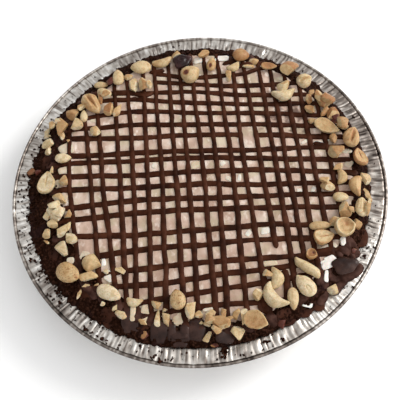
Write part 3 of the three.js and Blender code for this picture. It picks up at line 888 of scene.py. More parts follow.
def lattice_line(stations, values, swap, limits, near, sideways, seed):
    """One strand's [x, y] points, up to its limits or the crust; swapped, it runs away from the viewer."""
    at = np.arange(-112, 112, STRAND_STEP)
    offset = through_stations(stations, values, at)
    line = np.stack([offset, at], -1) if swap else np.stack([at, offset], -1)
    line = wobbled(line, seed)
    angle = np.arctan2(line[:, 1], line[:, 0])
    inside = np.hypot(line[:, 0], line[:, 1]) < pie_reach(angle, near, sideways)
    inside &= (at > limits[0]) & (at < limits[1])
    return line[inside]


def add_strand(heap, line, seed, width, height, crossing=None, spread=0.3, painted_sheen_share=0.75):
    """One strand laid over the pie: on the crust it spreads by this share, and its last argument is its share
    of painted sheen there.
    """
    at = np.arange(len(line)) * STRAND_STEP
    x, y = line.T
    broad = width * (1 + 0.15 * line_noise(at, 9, seed + 5) + 0.1 * line_noise(at, 3, seed + 6))
    on_crust = np.clip(crust_share(x, y) * 3, 0, 1)
    base = pie_top(x, y) + np.interp(y, (-90, -50), (0.95, 0.35)) * on_crust
    level = height * (1 + 0.12 * line_noise(at, 6, seed + 7)) * (1 - 0.2 * on_crust)
    broad = broad * (1 + spread * on_crust)
    if crossing is not None:
        near = np.exp(-((crossing(line) / 1.7) ** 2))
        level = level + 0.4 * near
        broad = broad * (1 + 0.15 * near)
    heap.add(*strand_skin(line, broad, level, base), np.repeat(painted_sheen_share * on_crust, len(STRAND_SECTION)))


# Thick strands poured by hand: width and their [x, y] points
POURED = [
    (3.6, [(38, 84), (44, 85.5), (50, 86), (56, 85), (60, 86)]), (3.0, [(-24, 89), (-18, 89.5), (-12, 89)]),
    (3.4, [(78.5, 14.3), (82, 12.6), (88, 10)]),
    (4.2, [(62, -63.5), (72, -62.5), (80, -62.5), (86, -64.5), (90, -68)]),
    (4.0, [(64, -71), (66, -77), (67, -84), (65, -90), (61, -94)]),
    (4.0, [(81, -80), (77, -83), (71, -88)]),
    (4.6, [(67, -77), (73, -78.5), (80, -79), (87, -76.5), (92, -71)]),
    (4.2, [(86, -56), (89, -61), (91, -67)]),
    (3.4, [(-79, -42), (-80, -50), (-78, -58), (-74, -66), (-68, -74)]),
    (4.4, [(44.6, -71), (45, -78), (44, -86), (43, -92)]), (4.4, [(29, -86), (29.5, -93), (30, -98)]),
    (3.4, [(28, 88), (36, 90), (45, 91.5), (52, 93)]), (3.4, [(34, 77), (43, 77.5), (52.5, 80), (58, 80)]),
    (3.2, [(-51.5, 76), (-45, 75), (-38.3, 74), (-33, 71), (-27, 69.5), (-22, 72)]),
    (2.8, [(-49, 68.6), (-41, 67.5), (-33, 68.5)]),
]

# Broad tongues that ran down over the near side of the crust: width and their [x, y] points
TONGUES = [
    (8.5, [(-48, -82), (-48.5, -90), (-49, -98)]), (9.5, [(-31.8, -93), (-32.6, -100), (-33.3, -105.5)]),
    (8.5, [(-10.5, -94), (-11.5, -102), (-12.5, -107.5)]), (8.5, [(0, -103), (5, -105.5), (11, -106.5)]),
    (4.4, [(-25, -95), (-25.8, -101), (-26.5, -106.5)]),
    (4.4, [(-17.5, -96), (-18.3, -102), (-19, -107.5)]), (3.6, [(-27, -101.3), (-22, -102), (-16, -102.6)]),
    (3.6, [(-28, -105.4), (-22, -106.2), (-16, -106.8)]),
]


def smooth_line(points):
    """Evenly stepped points on a smooth curve through a few given ones."""
    points = np.array(points, float)
    lengths = np.concatenate([[0], np.cumsum(np.linalg.norm(np.diff(points, axis=0), axis=1))])
    at = np.arange(0, lengths[-1], STRAND_STEP)
    return np.stack([through_stations(lengths, points[:, k], at) for k in (0, 1)], -1)


def make_lattice(material, upper_material, smooth_material):
    """The strands that run across, with those that run away from the viewer laid over them."""
    heap, upper = Heap(), Heap()
    across_lines = []
    for k, values in enumerate(STRANDS_ACROSS):
        limits = SHORT_ACROSS.get(k, (-110, 110))
        line = lattice_line(ACROSS_STATIONS, values, False, limits, 3, 6 + 3 * math.sin(5 * k), 100 + 10 * k)
        across_lines.append(line)
        width = np.interp(line[:, 0], (-90, -40, 0, 90), (4.4, 4.1, 4.0, 4.0))
        width *= np.interp(line[:, 1], (-80, -50, 10, 50, 90), (0.88, 0.95, 1, 0.94, 0.87))
        start, end = BROKEN_ACROSS.get(k, GAP_PAST_PIE)
        for part in (line[:, 0] < start, line[:, 0] > end):
            if part.any():
                add_strand(heap, line[part], 100 + 10 * k, width[part], ACROSS_HEIGHT)
    across = np.concatenate(across_lines)

    def crossing(line):
        gaps = np.linalg.norm(line[:, None, :] - across[None, :, :], axis=-1)
        return gaps.min(axis=1)

    for k, values in enumerate(STRANDS_ALONG):
        limits = SHORT_ALONG.get(k, (-112, 112))
        line = lattice_line(ALONG_STATIONS, values, True, limits, 5 + 2 * math.sin(7 * k), 2, 400 + 10 * k)
        width = np.interp(line[:, 1], (-90, -50, 0, 50, 90), (3.9, 3.7, 3.5, 3.2, 3.0))
        width *= np.interp(line[:, 0], (-80, -50, 60), (0.88, 0.96, 1))
        spread = np.interp(line[:, 1], (-90, -65), (0.85, 0.3))
        add_strand(upper, line, 400 + 10 * k, width, ALONG_HEIGHT, crossing, spread)
    for k, (width, points) in enumerate(POURED):
        add_strand(upper, smooth_line(points), 700 + 10 * k, width, POURED_HEIGHT)
    tongues = Heap()
    for k, (width, points) in enumerate(TONGUES):
        # The tongues take less of the painted sheen
        add_strand(tongues, smooth_line(points), 900 + 10 * k, width, TONGUE_HEIGHT, painted_sheen_share=0.25)
    tongues.piece("chocolate_tongues", smooth_material, "chocolate")
    heap.piece("lattice_across", material, "chocolate", ["cream_filling"])
    upper.piece("lattice_along", upper_material, "chocolate", ["cream_filling"])


# ------------------------------------------------------------------ chocolate puddles
def make_puddle(name, node, material, ripple, spread, shift=(0, 0, 0)):
    """A glossy mound of set chocolate in the place of its solid, run out a little further."""
    low, high = [np.array(corner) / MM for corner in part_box(node)]
    middle, size = (low + high) / 2 + shift, (high - low) * spread
    vertices, faces = UNIT_LUMPS[4]
    radius = np.hypot(vertices[:, 0], vertices[:, 1])
    angle = np.arctan2(vertices[:, 1], vertices[:, 0])
    up = np.sign(vertices[:, 2]) * np.abs(vertices[:, 2]) ** 0.8
    edge = 1 + 0.1 * np.sin(3 * angle + 1) + 0.06 * np.sin(5 * angle)
    swirl = ripple * np.sin(9 * radius + angle) * (1 - radius) * (up > 0)
    points = np.stack([vertices[:, 0] * edge, vertices[:, 1] * edge, up + swirl], -1) * size / 2
    add_piece(name, points + middle - [0, 0, 0.5], faces, material, [node])


# Chocolate that ran out thinly over the crust: x, y, length, width, heading
SPLASHES = [
    (-100.5, 31.5, 10, 7, 30), (-105.6, 22.1, 7, 5.5, 20), (-73.7, -70.1, 14, 11, -30),
    (94.7, -53.4, 15, 10, 80), (-94, -41.5, 15, 8, -60), (57.8, -88, 18, 11, -55), (89, -62.5, 8, 6, 40),
    (-62.4, -85.7, 11, 9, -35), (42.6, -99, 12, 8, 10), (-83, 62, 9, 5, 40), (-42, -96, 9, 6, 70),
    (22, -104.5, 9, 6, 15), (-95, -5, 9, 5, 80), (-98.2, 27.5, 10, 6, 60), (30, -93.5, 10, 8, 60),
    (-106.5, 22.5, 10, 7, 10), (53, -97, 10, 6, 20),
]


def make_splashes(material):
    heap = Heap()
    vertices, faces = UNIT_LUMPS[4]
    for x, y, length, width, heading in SPLASHES:
        flat = turned(vertices * [length / 2, width / 2, 0], heading)
        flat = flat * (1 + 0.3 * fractal(flat + [x, y, 0], 7, 91, 2))[:, None] + [x, y, 0]
        ground = pie_top(flat[:, 0], flat[:, 1])
        flat[:, 2] = ground + 0.6 + 0.6 * np.sign(vertices[:, 2]) * np.abs(vertices[:, 2]) ** 0.7
        # A little painted sheen on each splash
        heap.add(flat, faces, 0.2)
    heap.piece("chocolate_splashes", material, "chocolate")


# ------------------------------------------------------------------ peanuts
# Form, length, width, heading and tone of each numbered piece; 0 is the palest tone, 1 the darkest
PEANUTS = [
    ("face", 16, 11.5, 81, 0.2), ("back", 10.5, 7, -3, 0.18), ("chip", 15, 8.5, 100, 0.45),
    ("chip", 9, 8.5, -31, 0.22), ("chip", 9, 8.5, 16, 0.5), ("back", 9, 5, 85, 0.25),
    ("split", 18, 11.5, -60, 0.34), ("chip", 10, 7.5, -3, 0.06), ("chip", 10, 6.5, 79, 0.62),
    ("back", 10.5, 5.5, -10, 0.32), ("back", 13.5, 8.5, 91, 0.22), ("chip", 11.5, 6.5, 86, 0.1),
    ("chip", 11, 9.5, 82, 0.42), ("back", 15, 11, 177, 0.2), ("bean", 15, 7, 10, 0.36),
    ("spotted", 14, 12.5, 28, 0.36), ("spotted", 11.5, 6.5, 75, 0.4), ("back", 11.5, 11, -9, 0.55),
    ("bean", 11, 6.5, 28, 0.2), ("rim", 10.5, 6, -8, 0.72), ("chip", 14, 11, 55, 0.5),
    ("split", 11.5, 10.5, 20, 0.05), ("crescent", 16.5, 9.5, 6, 0.05), ("chip", 12, 9, -50, 0.5),
    ("chip", 11, 8.5, 54, 0.5), ("rim", 17.5, 9.5, -32, 0.46), ("chip", 9, 8, -49, 0.32),
    ("split", 15.5, 11, 65, 0.3), ("chip", 11, 10.5, 30, 0.4), ("face", 14.5, 9.5, 90, 0.48),
    ("bean", 12.5, 6.5, 82, 0.4), ("bean", 14.5, 8.5, 257, 0.42), ("chip", 9.5, 6.5, -30, 0.25),
    ("back", 10, 7, -8, 0.26), ("split", 14, 9, 77, 0.12), ("chip", 10.5, 9, 52, 0.42),
    ("cup", 13, 12.5, 8, 0.4), ("back", 13, 6, -5, 0.45), ("face", 13, 10.5, 8, 0.45),
    ("cup", 7, 7, -30, 0.68), ("curved", 18.5, 9, -60, 0.25), ("germ", 16, 10, 118, 0.1),
    ("bean", 14, 8, 82, 0.28), ("hook", 18, 10.5, -59, 0.14), ("back", 13, 6.5, -95, 0.25),
    ("rim", 14.5, 11, -28, 0.66), ("chip", 11, 8, -25, 0.5), ("chip", 11.5, 11, 39, 0),
    ("chip", 9.5, 6.5, 60, 0.18), ("chip", 11.5, 7.5, -55, 0.12), ("kite", 12.5, 11.5, -20, 0.4),
    ("whole", 16.8, 12, -35, 0.5), ("back", 16.5, 9, -35, 0.04), ("whole", 13, 9.5, 96, 0.42),
]
# Pieces that lie a little beside their solid: number, x and y
NUDGED = {16: (1.2, 0.2), 26: (1.4, -0.6), 23: (0.6, 0.8), 33: (0.8, 0.4), 46: (0, -1.4)}
# How finely a nut's skin is split round and up
NUT_COLUMNS = 36
NUT_RINGS = 20
# By form: height as a share of the width, sideways bend, how far the tip stands out, how blunt the ends are
NUT_HEIGHTS = {
    "face": 0.45, "back": 0.52, "bean": 0.55, "chip": 0.58, "whole": 0.74, "split": 0.55, "crescent": 0.6,
    "cup": 0.6, "rim": 0.45, "spotted": 0.66, "curved": 0.55, "germ": 0.5, "kite": 0.7, "hook": 0.6,
}
NUT_BENDS = {"bean": 0.55, "crescent": 0.75, "hook": 0.8}
NUT_POINTS = {"rim": 0.16, "back": 0.05, "hook": 0, "curved": 0}
NUT_BLUNTNESS = {"hook": 0.72, "curved": 0.72, "bean": 0.88}
# Painted shade: how much darker the nuts are painted by side, for how the light falls on each side: heading
# in degrees and tone
PAINTED_NUT_SHADE = [
    (0, 0.12), (30, 0.15), (60, 0.1), (90, 0.04), (120, 0.13), (140, 0), (180, 0), (220, -0.04), (270, 0),
    (300, 0), (330, 0.03), (360, 0.12),
]
# How deep the pieces sit, how much of the ground's slope they take up, and how much paler their cuts are
PEANUT_SINK = 0.7
TILT_SHARE = 0.45
CUT_PALER = 0.3


def nut_grid():
    """Unit directions over a ball, ring by ring from the lowest to the highest."""
    rise = np.linspace(-math.pi / 2 + 0.06, math.pi / 2 - 0.06, NUT_RINGS)
    turn = np.linspace(0, 2 * math.pi, NUT_COLUMNS, endpoint=False)
    rise, turn = np.meshgrid(rise, turn, indexing="ij")
    return np.stack([np.cos(rise) * np.cos(turn), np.cos(rise) * np.sin(turn), np.sin(rise)], -1)


def chopped_piece(length, width, height, tone, seed, fine=3):
    """A chopped bit of peanut: a rounded body sliced by a knife, its flat cut faces paler than its skin."""
    source = random.Random(seed)
    work = bmesh.new()
    bmesh.ops.create_icosphere(work, subdivisions=fine, radius=1)
    for vertex in work.verts:
        vertex.co *= 1 + 0.05 * math.sin(3 * vertex.co.x + seed) + 0.04 * math.sin(4 * vertex.co.y + 2 * seed)
    turn = source.uniform(0, 2 * math.pi)
    knives = [(0, 0, 1, source.uniform(0.35, 0.6))] if source.random() < 0.6 else []
    for k in range(source.randint(3, 4)):
        heading = turn + 2 * math.pi * k / 3.5 + source.uniform(-0.45, 0.45)
        slant, depth = source.uniform(-0.2, 0.55), source.uniform(0.45, 0.72)
        knives.append((math.cos(heading), math.sin(heading), slant, depth))
    cut_faces = set()
    for *direction, depth in knives:
        normal = Vector(direction).normalized()
        normal = (normal + Vector([source.uniform(-0.2, 0.2) for _ in range(3)])).normalized()
        cut = bmesh.ops.bisect_plane(work, geom=work.verts[:] + work.edges[:] + work.faces[:],
                                     plane_co=normal * depth, plane_no=normal, clear_outer=True)
        edges = [item for item in cut["geom_cut"] if isinstance(item, bmesh.types.BMEdge)]
        cut_faces.update(bmesh.ops.edgeloop_fill(work, edges=edges)["faces"])
    cut_faces = {face for face in cut_faces if face.is_valid}
    spans = np.array([vertex.co for vertex in work.verts])
    middle = (spans.max(0) + spans.min(0)) / 2
    points = (spans - middle) / np.ptp(spans, axis=0) * [length, width, height]
    points = points * (1 + 0.03 * soft_noise(points + 40 * seed, 3, 71)[:, None])
    work.verts.index_update()
    faces, tones = [], []
    for face in work.faces:
        corners = [vertex.index for vertex in face.verts]
        faces.append(corners)
        tones += [tone + CUT_PALER * (-0.6 if face in cut_faces else 0.4)] * len(corners)
    work.free()
    return points, faces, np.clip(tones, 0, 1)


def bump(away, width):
    """1 where away is 0, falling to 0 over about this width."""
    return np.exp(-((away / width) ** 2))


def spot_at(x, y, size):
    """1 at the origin, falling to 0 around it."""
    return np.exp(-(x**2 + y**2) / size)


def half_top(form, x, y, z):
    """The height of a half over unit directions, and how much darker each place is: the nut's own colour, and
    painted shade in grooves, gaps, hollows and round a face's edge.
    """
    flat = np.hypot(x, y)
    high = z > 0
    rounded = np.where(high, np.abs(z) ** 0.85, z * 0.45)
    inside = np.clip(1 - (x / 0.85) ** 4, 0, 1)
    if form in ("face", "rim"):
        groove = 0.13 * bump(y, 0.08) * np.clip(1 - ((x - 0.2) / 0.7) ** 2, 0, 1) * (form == "face")
        level = 0.42 + 0.07 * bump(flat - 0.88, 0.08) - groove - 0.05 * x
        pale = 0.1 * (flat < 0.88) * high + 0.4 * np.clip((flat - 0.84) / 0.05, 0, 1) * (form == "rim")
        # Painted shade: a dark ring where the face meets the back, and in the face's groove
        dark = 0.22 * bump(flat - 0.93, 0.05) * (z > -0.1) + 4 * groove
        return np.where(high, level * np.clip(z * 5, 0, 1) ** 0.5, z), dark - pale
    if form == "split":
        gap = 0.42 * bump(y, 0.15) * inside
        fan = 0.07 * np.sin(9 * y + 2 * x) * inside
        # Painted shade in the split's gap and along its ripples
        return np.where(high, rounded * (1 - gap) + fan, rounded), (0.5 * gap + 3 * np.abs(fan)) * high
    if form == "cup":
        hollow = np.exp(-((flat / 0.72) ** 6))
        edge = bump(flat - 0.86, 0.07)
        spot = spot_at(x - 0.2, y - 0.25, 0.06)
        level = rounded * 0.6 + 0.08 * edge - (0.3 + 0.1 * spot) * hollow
        # Painted shade in the hollow; the spot is the nut's own browner colour
        return np.where(high, level, rounded), (0.08 * hollow + 0.3 * spot - 0.25 * edge) * high
    if form == "germ":
        away = np.hypot(x + 0.42, y / 0.75)
        seam = bump(away - 0.3, 0.08)
        level = rounded * 0.85 - 0.12 * seam - 0.05 * (away < 0.3)
        # Painted shade along the seam round the germ
        return np.where(high, level, rounded), (0.26 * seam + 0.08 * (away < 0.22)) * high
    if form == "spotted":
        spot = np.exp(-((((x + 0.48) ** 2 + (y - 0.1) ** 2) / 0.075) ** 2))
        return np.where(high, rounded - 0.1 * spot, rounded), 1.2 * spot * high
    return rounded + 0.05 * bump(y, 0.12) * (flat < 0.9) * high, 0.12 * spot_at(x - 0.9, y, 0.08)


def half_nut(form, x, y, z):
    """A half's shape over unit directions, and how much darker each place is."""
    up, dark = half_top(form, x, y, z)
    taper = 1 - (0.05 if form == "hook" else 0.18) * x
    narrow = {"bean": 0.68, "hook": 0.6, "crescent": 0.7 - 0.1 * x**2, "curved": 0.55 + 0.2 * x,
              "kite": 1 - 0.45 * np.abs(x)}.get(form, 1)
    bend = 0.32 * np.sin(2.4 * x) if form == "curved" else NUT_BENDS.get(form, 0) * (x**2 - 0.4)
    point = NUT_POINTS.get(form, 0.09) * bump(np.arctan2(y, x), 0.3) * np.hypot(x, y)
    blunt = np.sign(x) * np.abs(x) ** NUT_BLUNTNESS.get(form, 1)
    return np.stack([blunt + point, y * taper * narrow + bend, up], -1), dark


def whole_nut(x, y, z, seed):
    """A near-whole nut with a small beak over unit directions, and how much darker each place is."""
    taper = 1 - 0.16 * x - 0.06 * x**2
    flats = 1 - 0.05 * np.maximum(0, np.sin(3 * np.arctan2(z, y) + seed))
    beak = 0.1 * spot_at(y, z, 0.04) * (x > 0)
    return np.stack([x + beak, y * taper * flats, z * taper * flats], -1), 0.18 * spot_at(x - 0.95, y, 0.06)


def shaped_nut(length, width, form, tone, seed):
    """Rings of points of one peanut or half, and a tone for each: it lies along x round the origin."""
    ball = nut_grid()
    x, y, z = ball[..., 0], ball[..., 1], ball[..., 2]
    shape, dark = whole_nut(x, y, z, seed) if form == "whole" else half_nut(form, x, y, z)
    low, high = shape.min((0, 1)), shape.max((0, 1))
    points = (shape - (low + high) / 2) / (high - low) * [length, width, NUT_HEIGHTS[form] * width]
    uneven = 0.045 if form == "whole" else 0.08
    points = points * (1 + uneven * soft_noise(points + 40 * seed, 5, 71)[..., None])
    points = points * (1 + 0.03 * soft_noise(points + 40 * seed, 2, 72)[..., None])
    return points, tone + dark + 0.12 * soft_noise(points + 50 * seed, 5, 73)


def peanut_piece(length, width, form, tone, seed, thin=1):
    """Vertices, faces and tones of one piece; where thin is 2 it has half the rings and columns."""
    if form == "chip":
        return chopped_piece(length, width, NUT_HEIGHTS[form] * width, tone, seed, 3 if thin == 1 else 2)
    rings, level = shaped_nut(length, width, form, tone, seed)
    vertices, faces = closed_skin(rings[::thin, ::thin])
    level = level[::thin, ::thin]
    level = np.concatenate([level.ravel(), [level[0].mean(), level[-1].mean()]])
    return vertices, faces, np.clip(level, 0, 1)


def painted_side_shade(x, y):
    """Painted shade: how much darker a nut is painted on this side of the pie."""
    return float(np.interp(math.degrees(math.atan2(y, x)) % 360, *zip(*PAINTED_NUT_SHADE)))


def ground_tilt(x, y, reach=4):
    """How the pie's top slopes at a place, as a turn for what lies on it."""
    rise_x = TILT_SHARE * float(pie_top(x + reach, y) - pie_top(x - reach, y)) / (2 * reach)
    rise_y = TILT_SHARE * float(pie_top(x, y + reach) - pie_top(x, y - reach)) / (2 * reach)
    normal = Vector((-rise_x, -rise_y, 1)).normalized()
    return np.array(Vector((0, 0, 1)).rotation_difference(normal).to_matrix())


def soften(piece):
    """Worn edges where a knife cut."""
    bevel = piece.modifiers.new("worn_edges", "BEVEL")
    bevel.width = 0.32 * MM
    bevel.segments = 2
    bevel.limit_method = "ANGLE"
    bevel.angle_limit = math.radians(30)


def make_peanuts(material, skin):
    """The numbered pieces; gives each one's x, y, reach, lowest and highest point."""
    placed = []
    for number, (form, length, width, heading, tone) in enumerate(PEANUTS, 1):
        node = f"peanut_{number:02d}"
        low, high = [np.array(corner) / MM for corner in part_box(node)]
        middle = (low + high) / 2 + [*NUDGED.get(number, (0, 0)), 0]
        source = random.Random(900 + number)
        vertices, faces, level = peanut_piece(length, width, form, tone + painted_side_shade(*middle[:2]), number)
        lean = 12 if form in ("face", "rim", "split") else 8
        vertices = turned(vertices, heading, source.uniform(-lean, lean), source.uniform(-lean, lean))
        vertices = vertices @ ground_tilt(*middle[:2]).T
        vertices += [middle[0], middle[1], low[2] - PEANUT_SINK - vertices[:, 2].min()]
        look = skin if form == "whole" else material
        nut = add_piece(f"nut_{number:02d}", vertices, faces, look, [node], level)
        if form == "chip":
            soften(nut)
        placed.append((*middle[:2], (length + width) / 4, vertices[:, 2].min(), vertices[:, 2].max()))
    return placed


# Small pieces that lie between the larger ones: x, y, length, width, heading, tone and, if not a chip, form
SMALL_NUTS = [
    (-47.8, 58.4, 10.6, 5.2, 60, 0.3), (30.7, 75.7, 8.8, 4.4, 85, 0.3), (81.8, 47.9, 8.4, 4.8, 80, 0.42),
    (-33.3, -83.3, 6.1, 5.2, -30, 0.42), (-13.9, -90, 11, 6.1, 75, 0.22), (12.5, -95.5, 7.2, 4.7, 75, 0.42),
    (26.3, -85.6, 7.3, 5.9, 55, 0.25), (-45.9, -80.3, 10.5, 5.8, -15, 0.22, "bean"),
    (34.4, -73.3, 5.9, 4.6, -10, 0.38), (80.9, 39.7, 7.7, 5.5, -35, 0.4),
    # left, far side first
    (-51.5, 83.4, 6.6, 5.1, 60, 1), (-54.9, 71.6, 6.4, 4.7, 5, 0.4), (-58.8, 68.7, 8.7, 3.4, 95, 0.6),
    (-72.3, 64.4, 6.9, 4.6, 30, 0.35), (-89.4, 55.5, 5.5, 4.6, 15, 0.15), (-93.5, 53.4, 6.2, 5.3, 60, 0.4),
    (-98.3, 52.4, 7.8, 4, 70, 0.1), (-97.8, 48.9, 5.7, 3.7, -10, 0.08), (-86.5, 44.1, 6.8, 3.7, 95, 0.25),
    (-63.9, 43.7, 7.6, 7.2, 40, 0.36), (-96.8, 40.8, 8.2, 7.1, 5, 0.12), (-82.5, 39.5, 2.5, 2.5, -10, 0.4),
    (-96.4, 34.6, 6.4, 4.5, 80, 0.18), (-108.8, 22.8, 6.5, 5, 15, 0.78), (-104, 20.5, 4.4, 3.4, 10, 0.95),
    (-94.1, 18.3, 6.6, 2.5, 80, 0.25), (-86.1, 7.6, 7.6, 8, 15, 0.38), (-88.7, -3.8, 10.5, 6.1, -40, 0.3),
    (-91.2, -11, 8, 7.4, 25, 0.03), (-88.9, -15.6, 8.1, 6.8, -30, 0), (-83, -16.4, 6.1, 4.1, 60, 0.45),
    (-97.4, -16.1, 5.5, 4.4, 90, 0.15), (-93.2, -21.8, 7.5, 5.8, -30, 0.22),
    (-84.3, -24.8, 7.4, 3.7, 70, 0.2), (-97.2, -27.3, 6.8, 5.3, 60, 0.28),
    (-98.5, -31.8, 4.7, 2.1, -40, 0.4), (-82.4, -33.5, 10.1, 6.8, -45, 0.12),
    (-72.2, -60.4, 11.5, 5.6, 8, 0.34), (-74.5, -65.1, 5, 2.4, 5, 0.3), (-79.2, -69.3, 6.3, 2.6, 60, 0.3),
    (-68, -65.7, 3.3, 1.5, 5, 0.35), (-61.5, -58.5, 4, 3, -55, 0.1), (-52.8, -58.6, 6.6, 3.7, -30, 0.2),
    (-64.4, -78.8, 3, 2.8, -10, 0), (-57.3, -81.7, 5.1, 3.4, 40, 0.1), (-54.4, -86.1, 8.5, 4.5, -35, 0.15),
    # near side, left first
    (-42.1, -92.3, 6.9, 3.2, -35, 0.4), (-41.4, -99.4, 5.8, 4.3, 65, 0.92),
    (-33, -91.5, 10.5, 3.7, 80, 0.22), (-28, -92.9, 8.8, 4.7, 90, 0.3), (-28.5, -87.5, 3.2, 2.5, -10, 0.25),
    (-8.8, -92.7, 5.1, 4.4, -20, 0.35), (-8.1, -97.3, 2.6, 2.2, -10, 0.2), (-2.3, -93, 6.4, 4.4, 5, 0.3),
    (-4.6, -98.3, 5.4, 4.3, -50, 0.3), (-5.4, -105.6, 6.9, 3.7, 55, 0.25),
    (-0.2, -103.8, 6.4, 4.3, -30, 0.4), (-2.4, -97.2, 6.6, 5.8, -20, 0.45),
    (6.6, -101.8, 4.8, 3.7, 55, 0.4), (5.3, -94.6, 4.2, 3.4, 85, 0.5), (5.6, -92.1, 3.2, 2.5, -10, 0.45),
    (8.8, -97.5, 3.7, 3.2, -10, 0.48), (-1.8, -110, 5.5, 2.6, -5, 0.97), (16.3, -97.5, 10.5, 4.1, 70, 0.25),
    (12.3, -105.5, 8.5, 7.4, -60, 0.15), (37.6, -102.9, 5.5, 5.4, -10, 0.9),
    (70.7, -85.7, 7.7, 7.1, -10, 0.2),
    # right, near side first
    (94.1, -47.7, 6.9, 6, -65, 0.4), (91.2, -39.8, 5.1, 3.8, -45, 0.35), (79.9, -44.5, 7.8, 4.6, 35, 0.42),
    (101.6, -39.5, 11.6, 3.3, 70, 0.35), (90.1, -7.6, 8, 4.5, 25, 0.35), (91.4, 14.2, 8.1, 5.3, 80, 0.38),
    (99.3, 23.2, 9.6, 7.6, -55, 0.36), (94.8, 26.6, 5.4, 4.4, -10, 0.85), (80.7, 29.8, 6.1, 3.7, -20, 0.2),
    (90.2, 35.5, 11.1, 4.3, 60, 0.4), (93.4, 43.2, 9.9, 8, -45, 0.5), (87.8, 46.2, 9.9, 6.9, -65, 0.45),
    (84.6, 53.7, 5.9, 3.9, 55, 0.35), (96.2, 28.8, 5, 4.4, 20, 1), (88.9, -62.5, 5, 4, 30, 0.95),
    (79, -17, 5, 6.5, 80, 0.3), (106.3, -15.9, 8.6, 6.4, -80, 0.16), (104.8, -27, 11.5, 4.4, -72, 0.22),
    # far side, right first
    (66.2, 59.2, 9.7, 8, 15, 0.3), (50.1, 86.3, 7, 4.8, -10, 0.3), (45.4, 82.2, 8.4, 2.8, -5, 0.25),
    (15.6, 98, 9, 5.6, 10, 0.4), (-3.4, 99.2, 9, 6.8, 65, 0.36), (-24.5, 74.7, 7.2, 4.5, 85, 0.2),
    (-38.7, 85.7, 6.3, 5.5, 30, 0.3),
]


def make_small_nuts(material, larger):
    """Small chips, resting on the pie or part way up a larger piece that they touch."""
    heap = Heap()
    for k, (x, y, length, width, heading, tone, *form) in enumerate(SMALL_NUTS):
        form = form[0] if form else "chip"
        vertices, faces, level = peanut_piece(length, width, form, tone + painted_side_shade(x, y), 300 + k, 2)
        vertices = turned(vertices, heading, 10 * math.sin(5 * k), 10 * math.cos(3 * k)) @ ground_tilt(x, y).T
        rest = float(pie_top(x, y)) + 0.6
        for other_x, other_y, reach, low, high in larger:
            touch = 1 - math.hypot(x - other_x, y - other_y) / (reach + width / 2)
            if touch > 0:
                rest = max(rest, low + (high - low) * min(0.75, 1.2 * touch))
        vertices += [x, y, rest - vertices[:, 2].min()]
        heap.add(vertices, faces, level)
    soften(heap.piece("small_nuts", material, "peanut", ["cream_filling"]))


# ------------------------------------------------------------------ stage, light and camera
CAMERA_PLACE = (0.15, -223.6, 421.25)
CAMERA_ELEVATION = 61.76
CAMERA_ROLL = -7.3
CAMERA_LENS = 61.97


def make_stage():
    work = bmesh.new()
    bmesh.ops.create_grid(work, x_segments=2, y_segments=2, size=6)
    mesh = bpy.data.meshes.new("floor")
    work.to_mesh(mesh)
    work.free()
    look = Look("pale_floor", Roughness=0.9, Specular_IOR_Level=0.1)
    look.paint(look.ramp(look.noise(600, 2), (0.3, 251, 251, 251), (0.7, 254, 254, 254)))
    mesh.materials.append(look.material)
    in_scene("floor", mesh)


def add_light(name, place, size, power, tint):
    data = bpy.data.lights.new(name, "AREA")
    data.shape = "DISK"
    data.size = size
    data.energy = power
    data.color = tint
    lamp = in_scene(name, data)
    lamp.location = place
    lamp.rotation_euler = (-Vector(place)).to_track_quat("-Z", "Y").to_euler()


# The side the soft light comes from, and its level from behind that side to straight from it
LIGHT_SIDE = (0.74, -0.34, 0.58)
LIGHT_LEVELS = [(0.0, 0.36), (0.5, 0.53), (0.78, 0.68), (1.0, 1.38)]
LIGHT_STRENGTH = 1.21
KEY_PLACE = (1.34, 0.4, 1.0)


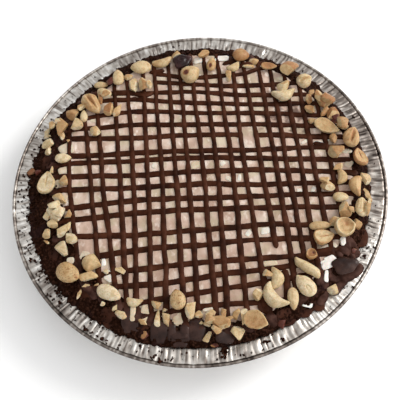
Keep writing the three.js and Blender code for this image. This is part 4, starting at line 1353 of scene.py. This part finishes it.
def make_light():
    world = bpy.data.worlds.new("studio")
    world.use_nodes = True
    nodes = world.node_tree.nodes
    links = world.node_tree.links
    place = nodes.new("ShaderNodeTexCoord")
    lean = nodes.new("ShaderNodeVectorMath")
    lean.operation = "DOT_PRODUCT"
    lean.inputs[1].default_value = LIGHT_SIDE
    share = nodes.new("ShaderNodeMapRange")
    share.inputs["From Min"].default_value = -1
    ramp = nodes.new("ShaderNodeValToRGB")
    fill_ramp(ramp, [(position, (level, level, level, 1)) for position, level in LIGHT_LEVELS])
    links.new(place.outputs["Generated"], lean.inputs[0])
    links.new(lean.outputs["Value"], share.inputs["Value"])
    links.new(share.outputs["Result"], ramp.inputs["Fac"])
    links.new(ramp.outputs["Color"], nodes["Background"].inputs["Color"])
    nodes["Background"].inputs["Strength"].default_value = LIGHT_STRENGTH
    bpy.context.scene.world = world
    add_light("key", KEY_PLACE, 0.85, 20, (1, 0.99, 0.97))


def make_camera():
    data = bpy.data.cameras.new("camera")
    data.lens = CAMERA_LENS
    data.sensor_width = 36
    camera = in_scene("camera", data)
    camera.location = Vector(CAMERA_PLACE) * MM
    tilt = Matrix.Rotation(math.radians(90 - CAMERA_ELEVATION), 3, "X")
    roll = Matrix.Rotation(math.radians(CAMERA_ROLL), 3, "Z")
    camera.rotation_euler = (tilt @ roll).to_euler()
    bpy.context.scene.camera = camera
    bpy.context.scene.view_settings.view_transform = "Standard"


make_camera()
make_stage()
make_light()
make_foil_pan()
CRUST = crust_look()
CREAM = cream_look()
# The strands that run away from the viewer are painted a little lighter than those across: painted light on
# the upper strands
CHOCOLATE = chocolate_look("drizzle_across", (36, 13, 3), (52, 23, 9), (70, 37, 21))
UPPER = chocolate_look("drizzle_along", (38, 15, 5), (55, 26, 12), (74, 41, 27))
GLOSSY = chocolate_look("set_chocolate", (24, 9, 8), (36, 15, 14), (66, 38, 36), (0.24, 0.4), 0.25)
SATIN = chocolate_look("smooth_chocolate", (30, 15, 11), (42, 23, 17), (62, 40, 32), (0.26, 0.4), 0.22)
PEANUT = peanut_look()
make_crust(CRUST)
scatter_crust_crumbs(CRUST)
scatter_flange_crumbs(crust_look("fallen_crumbs", 1.1))
make_cream(CREAM)
make_cream_dabs(dab_look())
make_lattice(CHOCOLATE, UPPER, SATIN)
make_splashes(CHOCOLATE)
make_puddle("round_drop", "chocolate_drop", GLOSSY, 0.3, (1.22, 1.22, 1), (-1.5, 0, 0.3))
make_puddle("smooth_run", "chocolate_run", SATIN, 0.1, (1.1, 1.1, 1))
make_small_nuts(PEANUT, make_peanuts(PEANUT, peanut_look("peanut_skin", 0.9)))
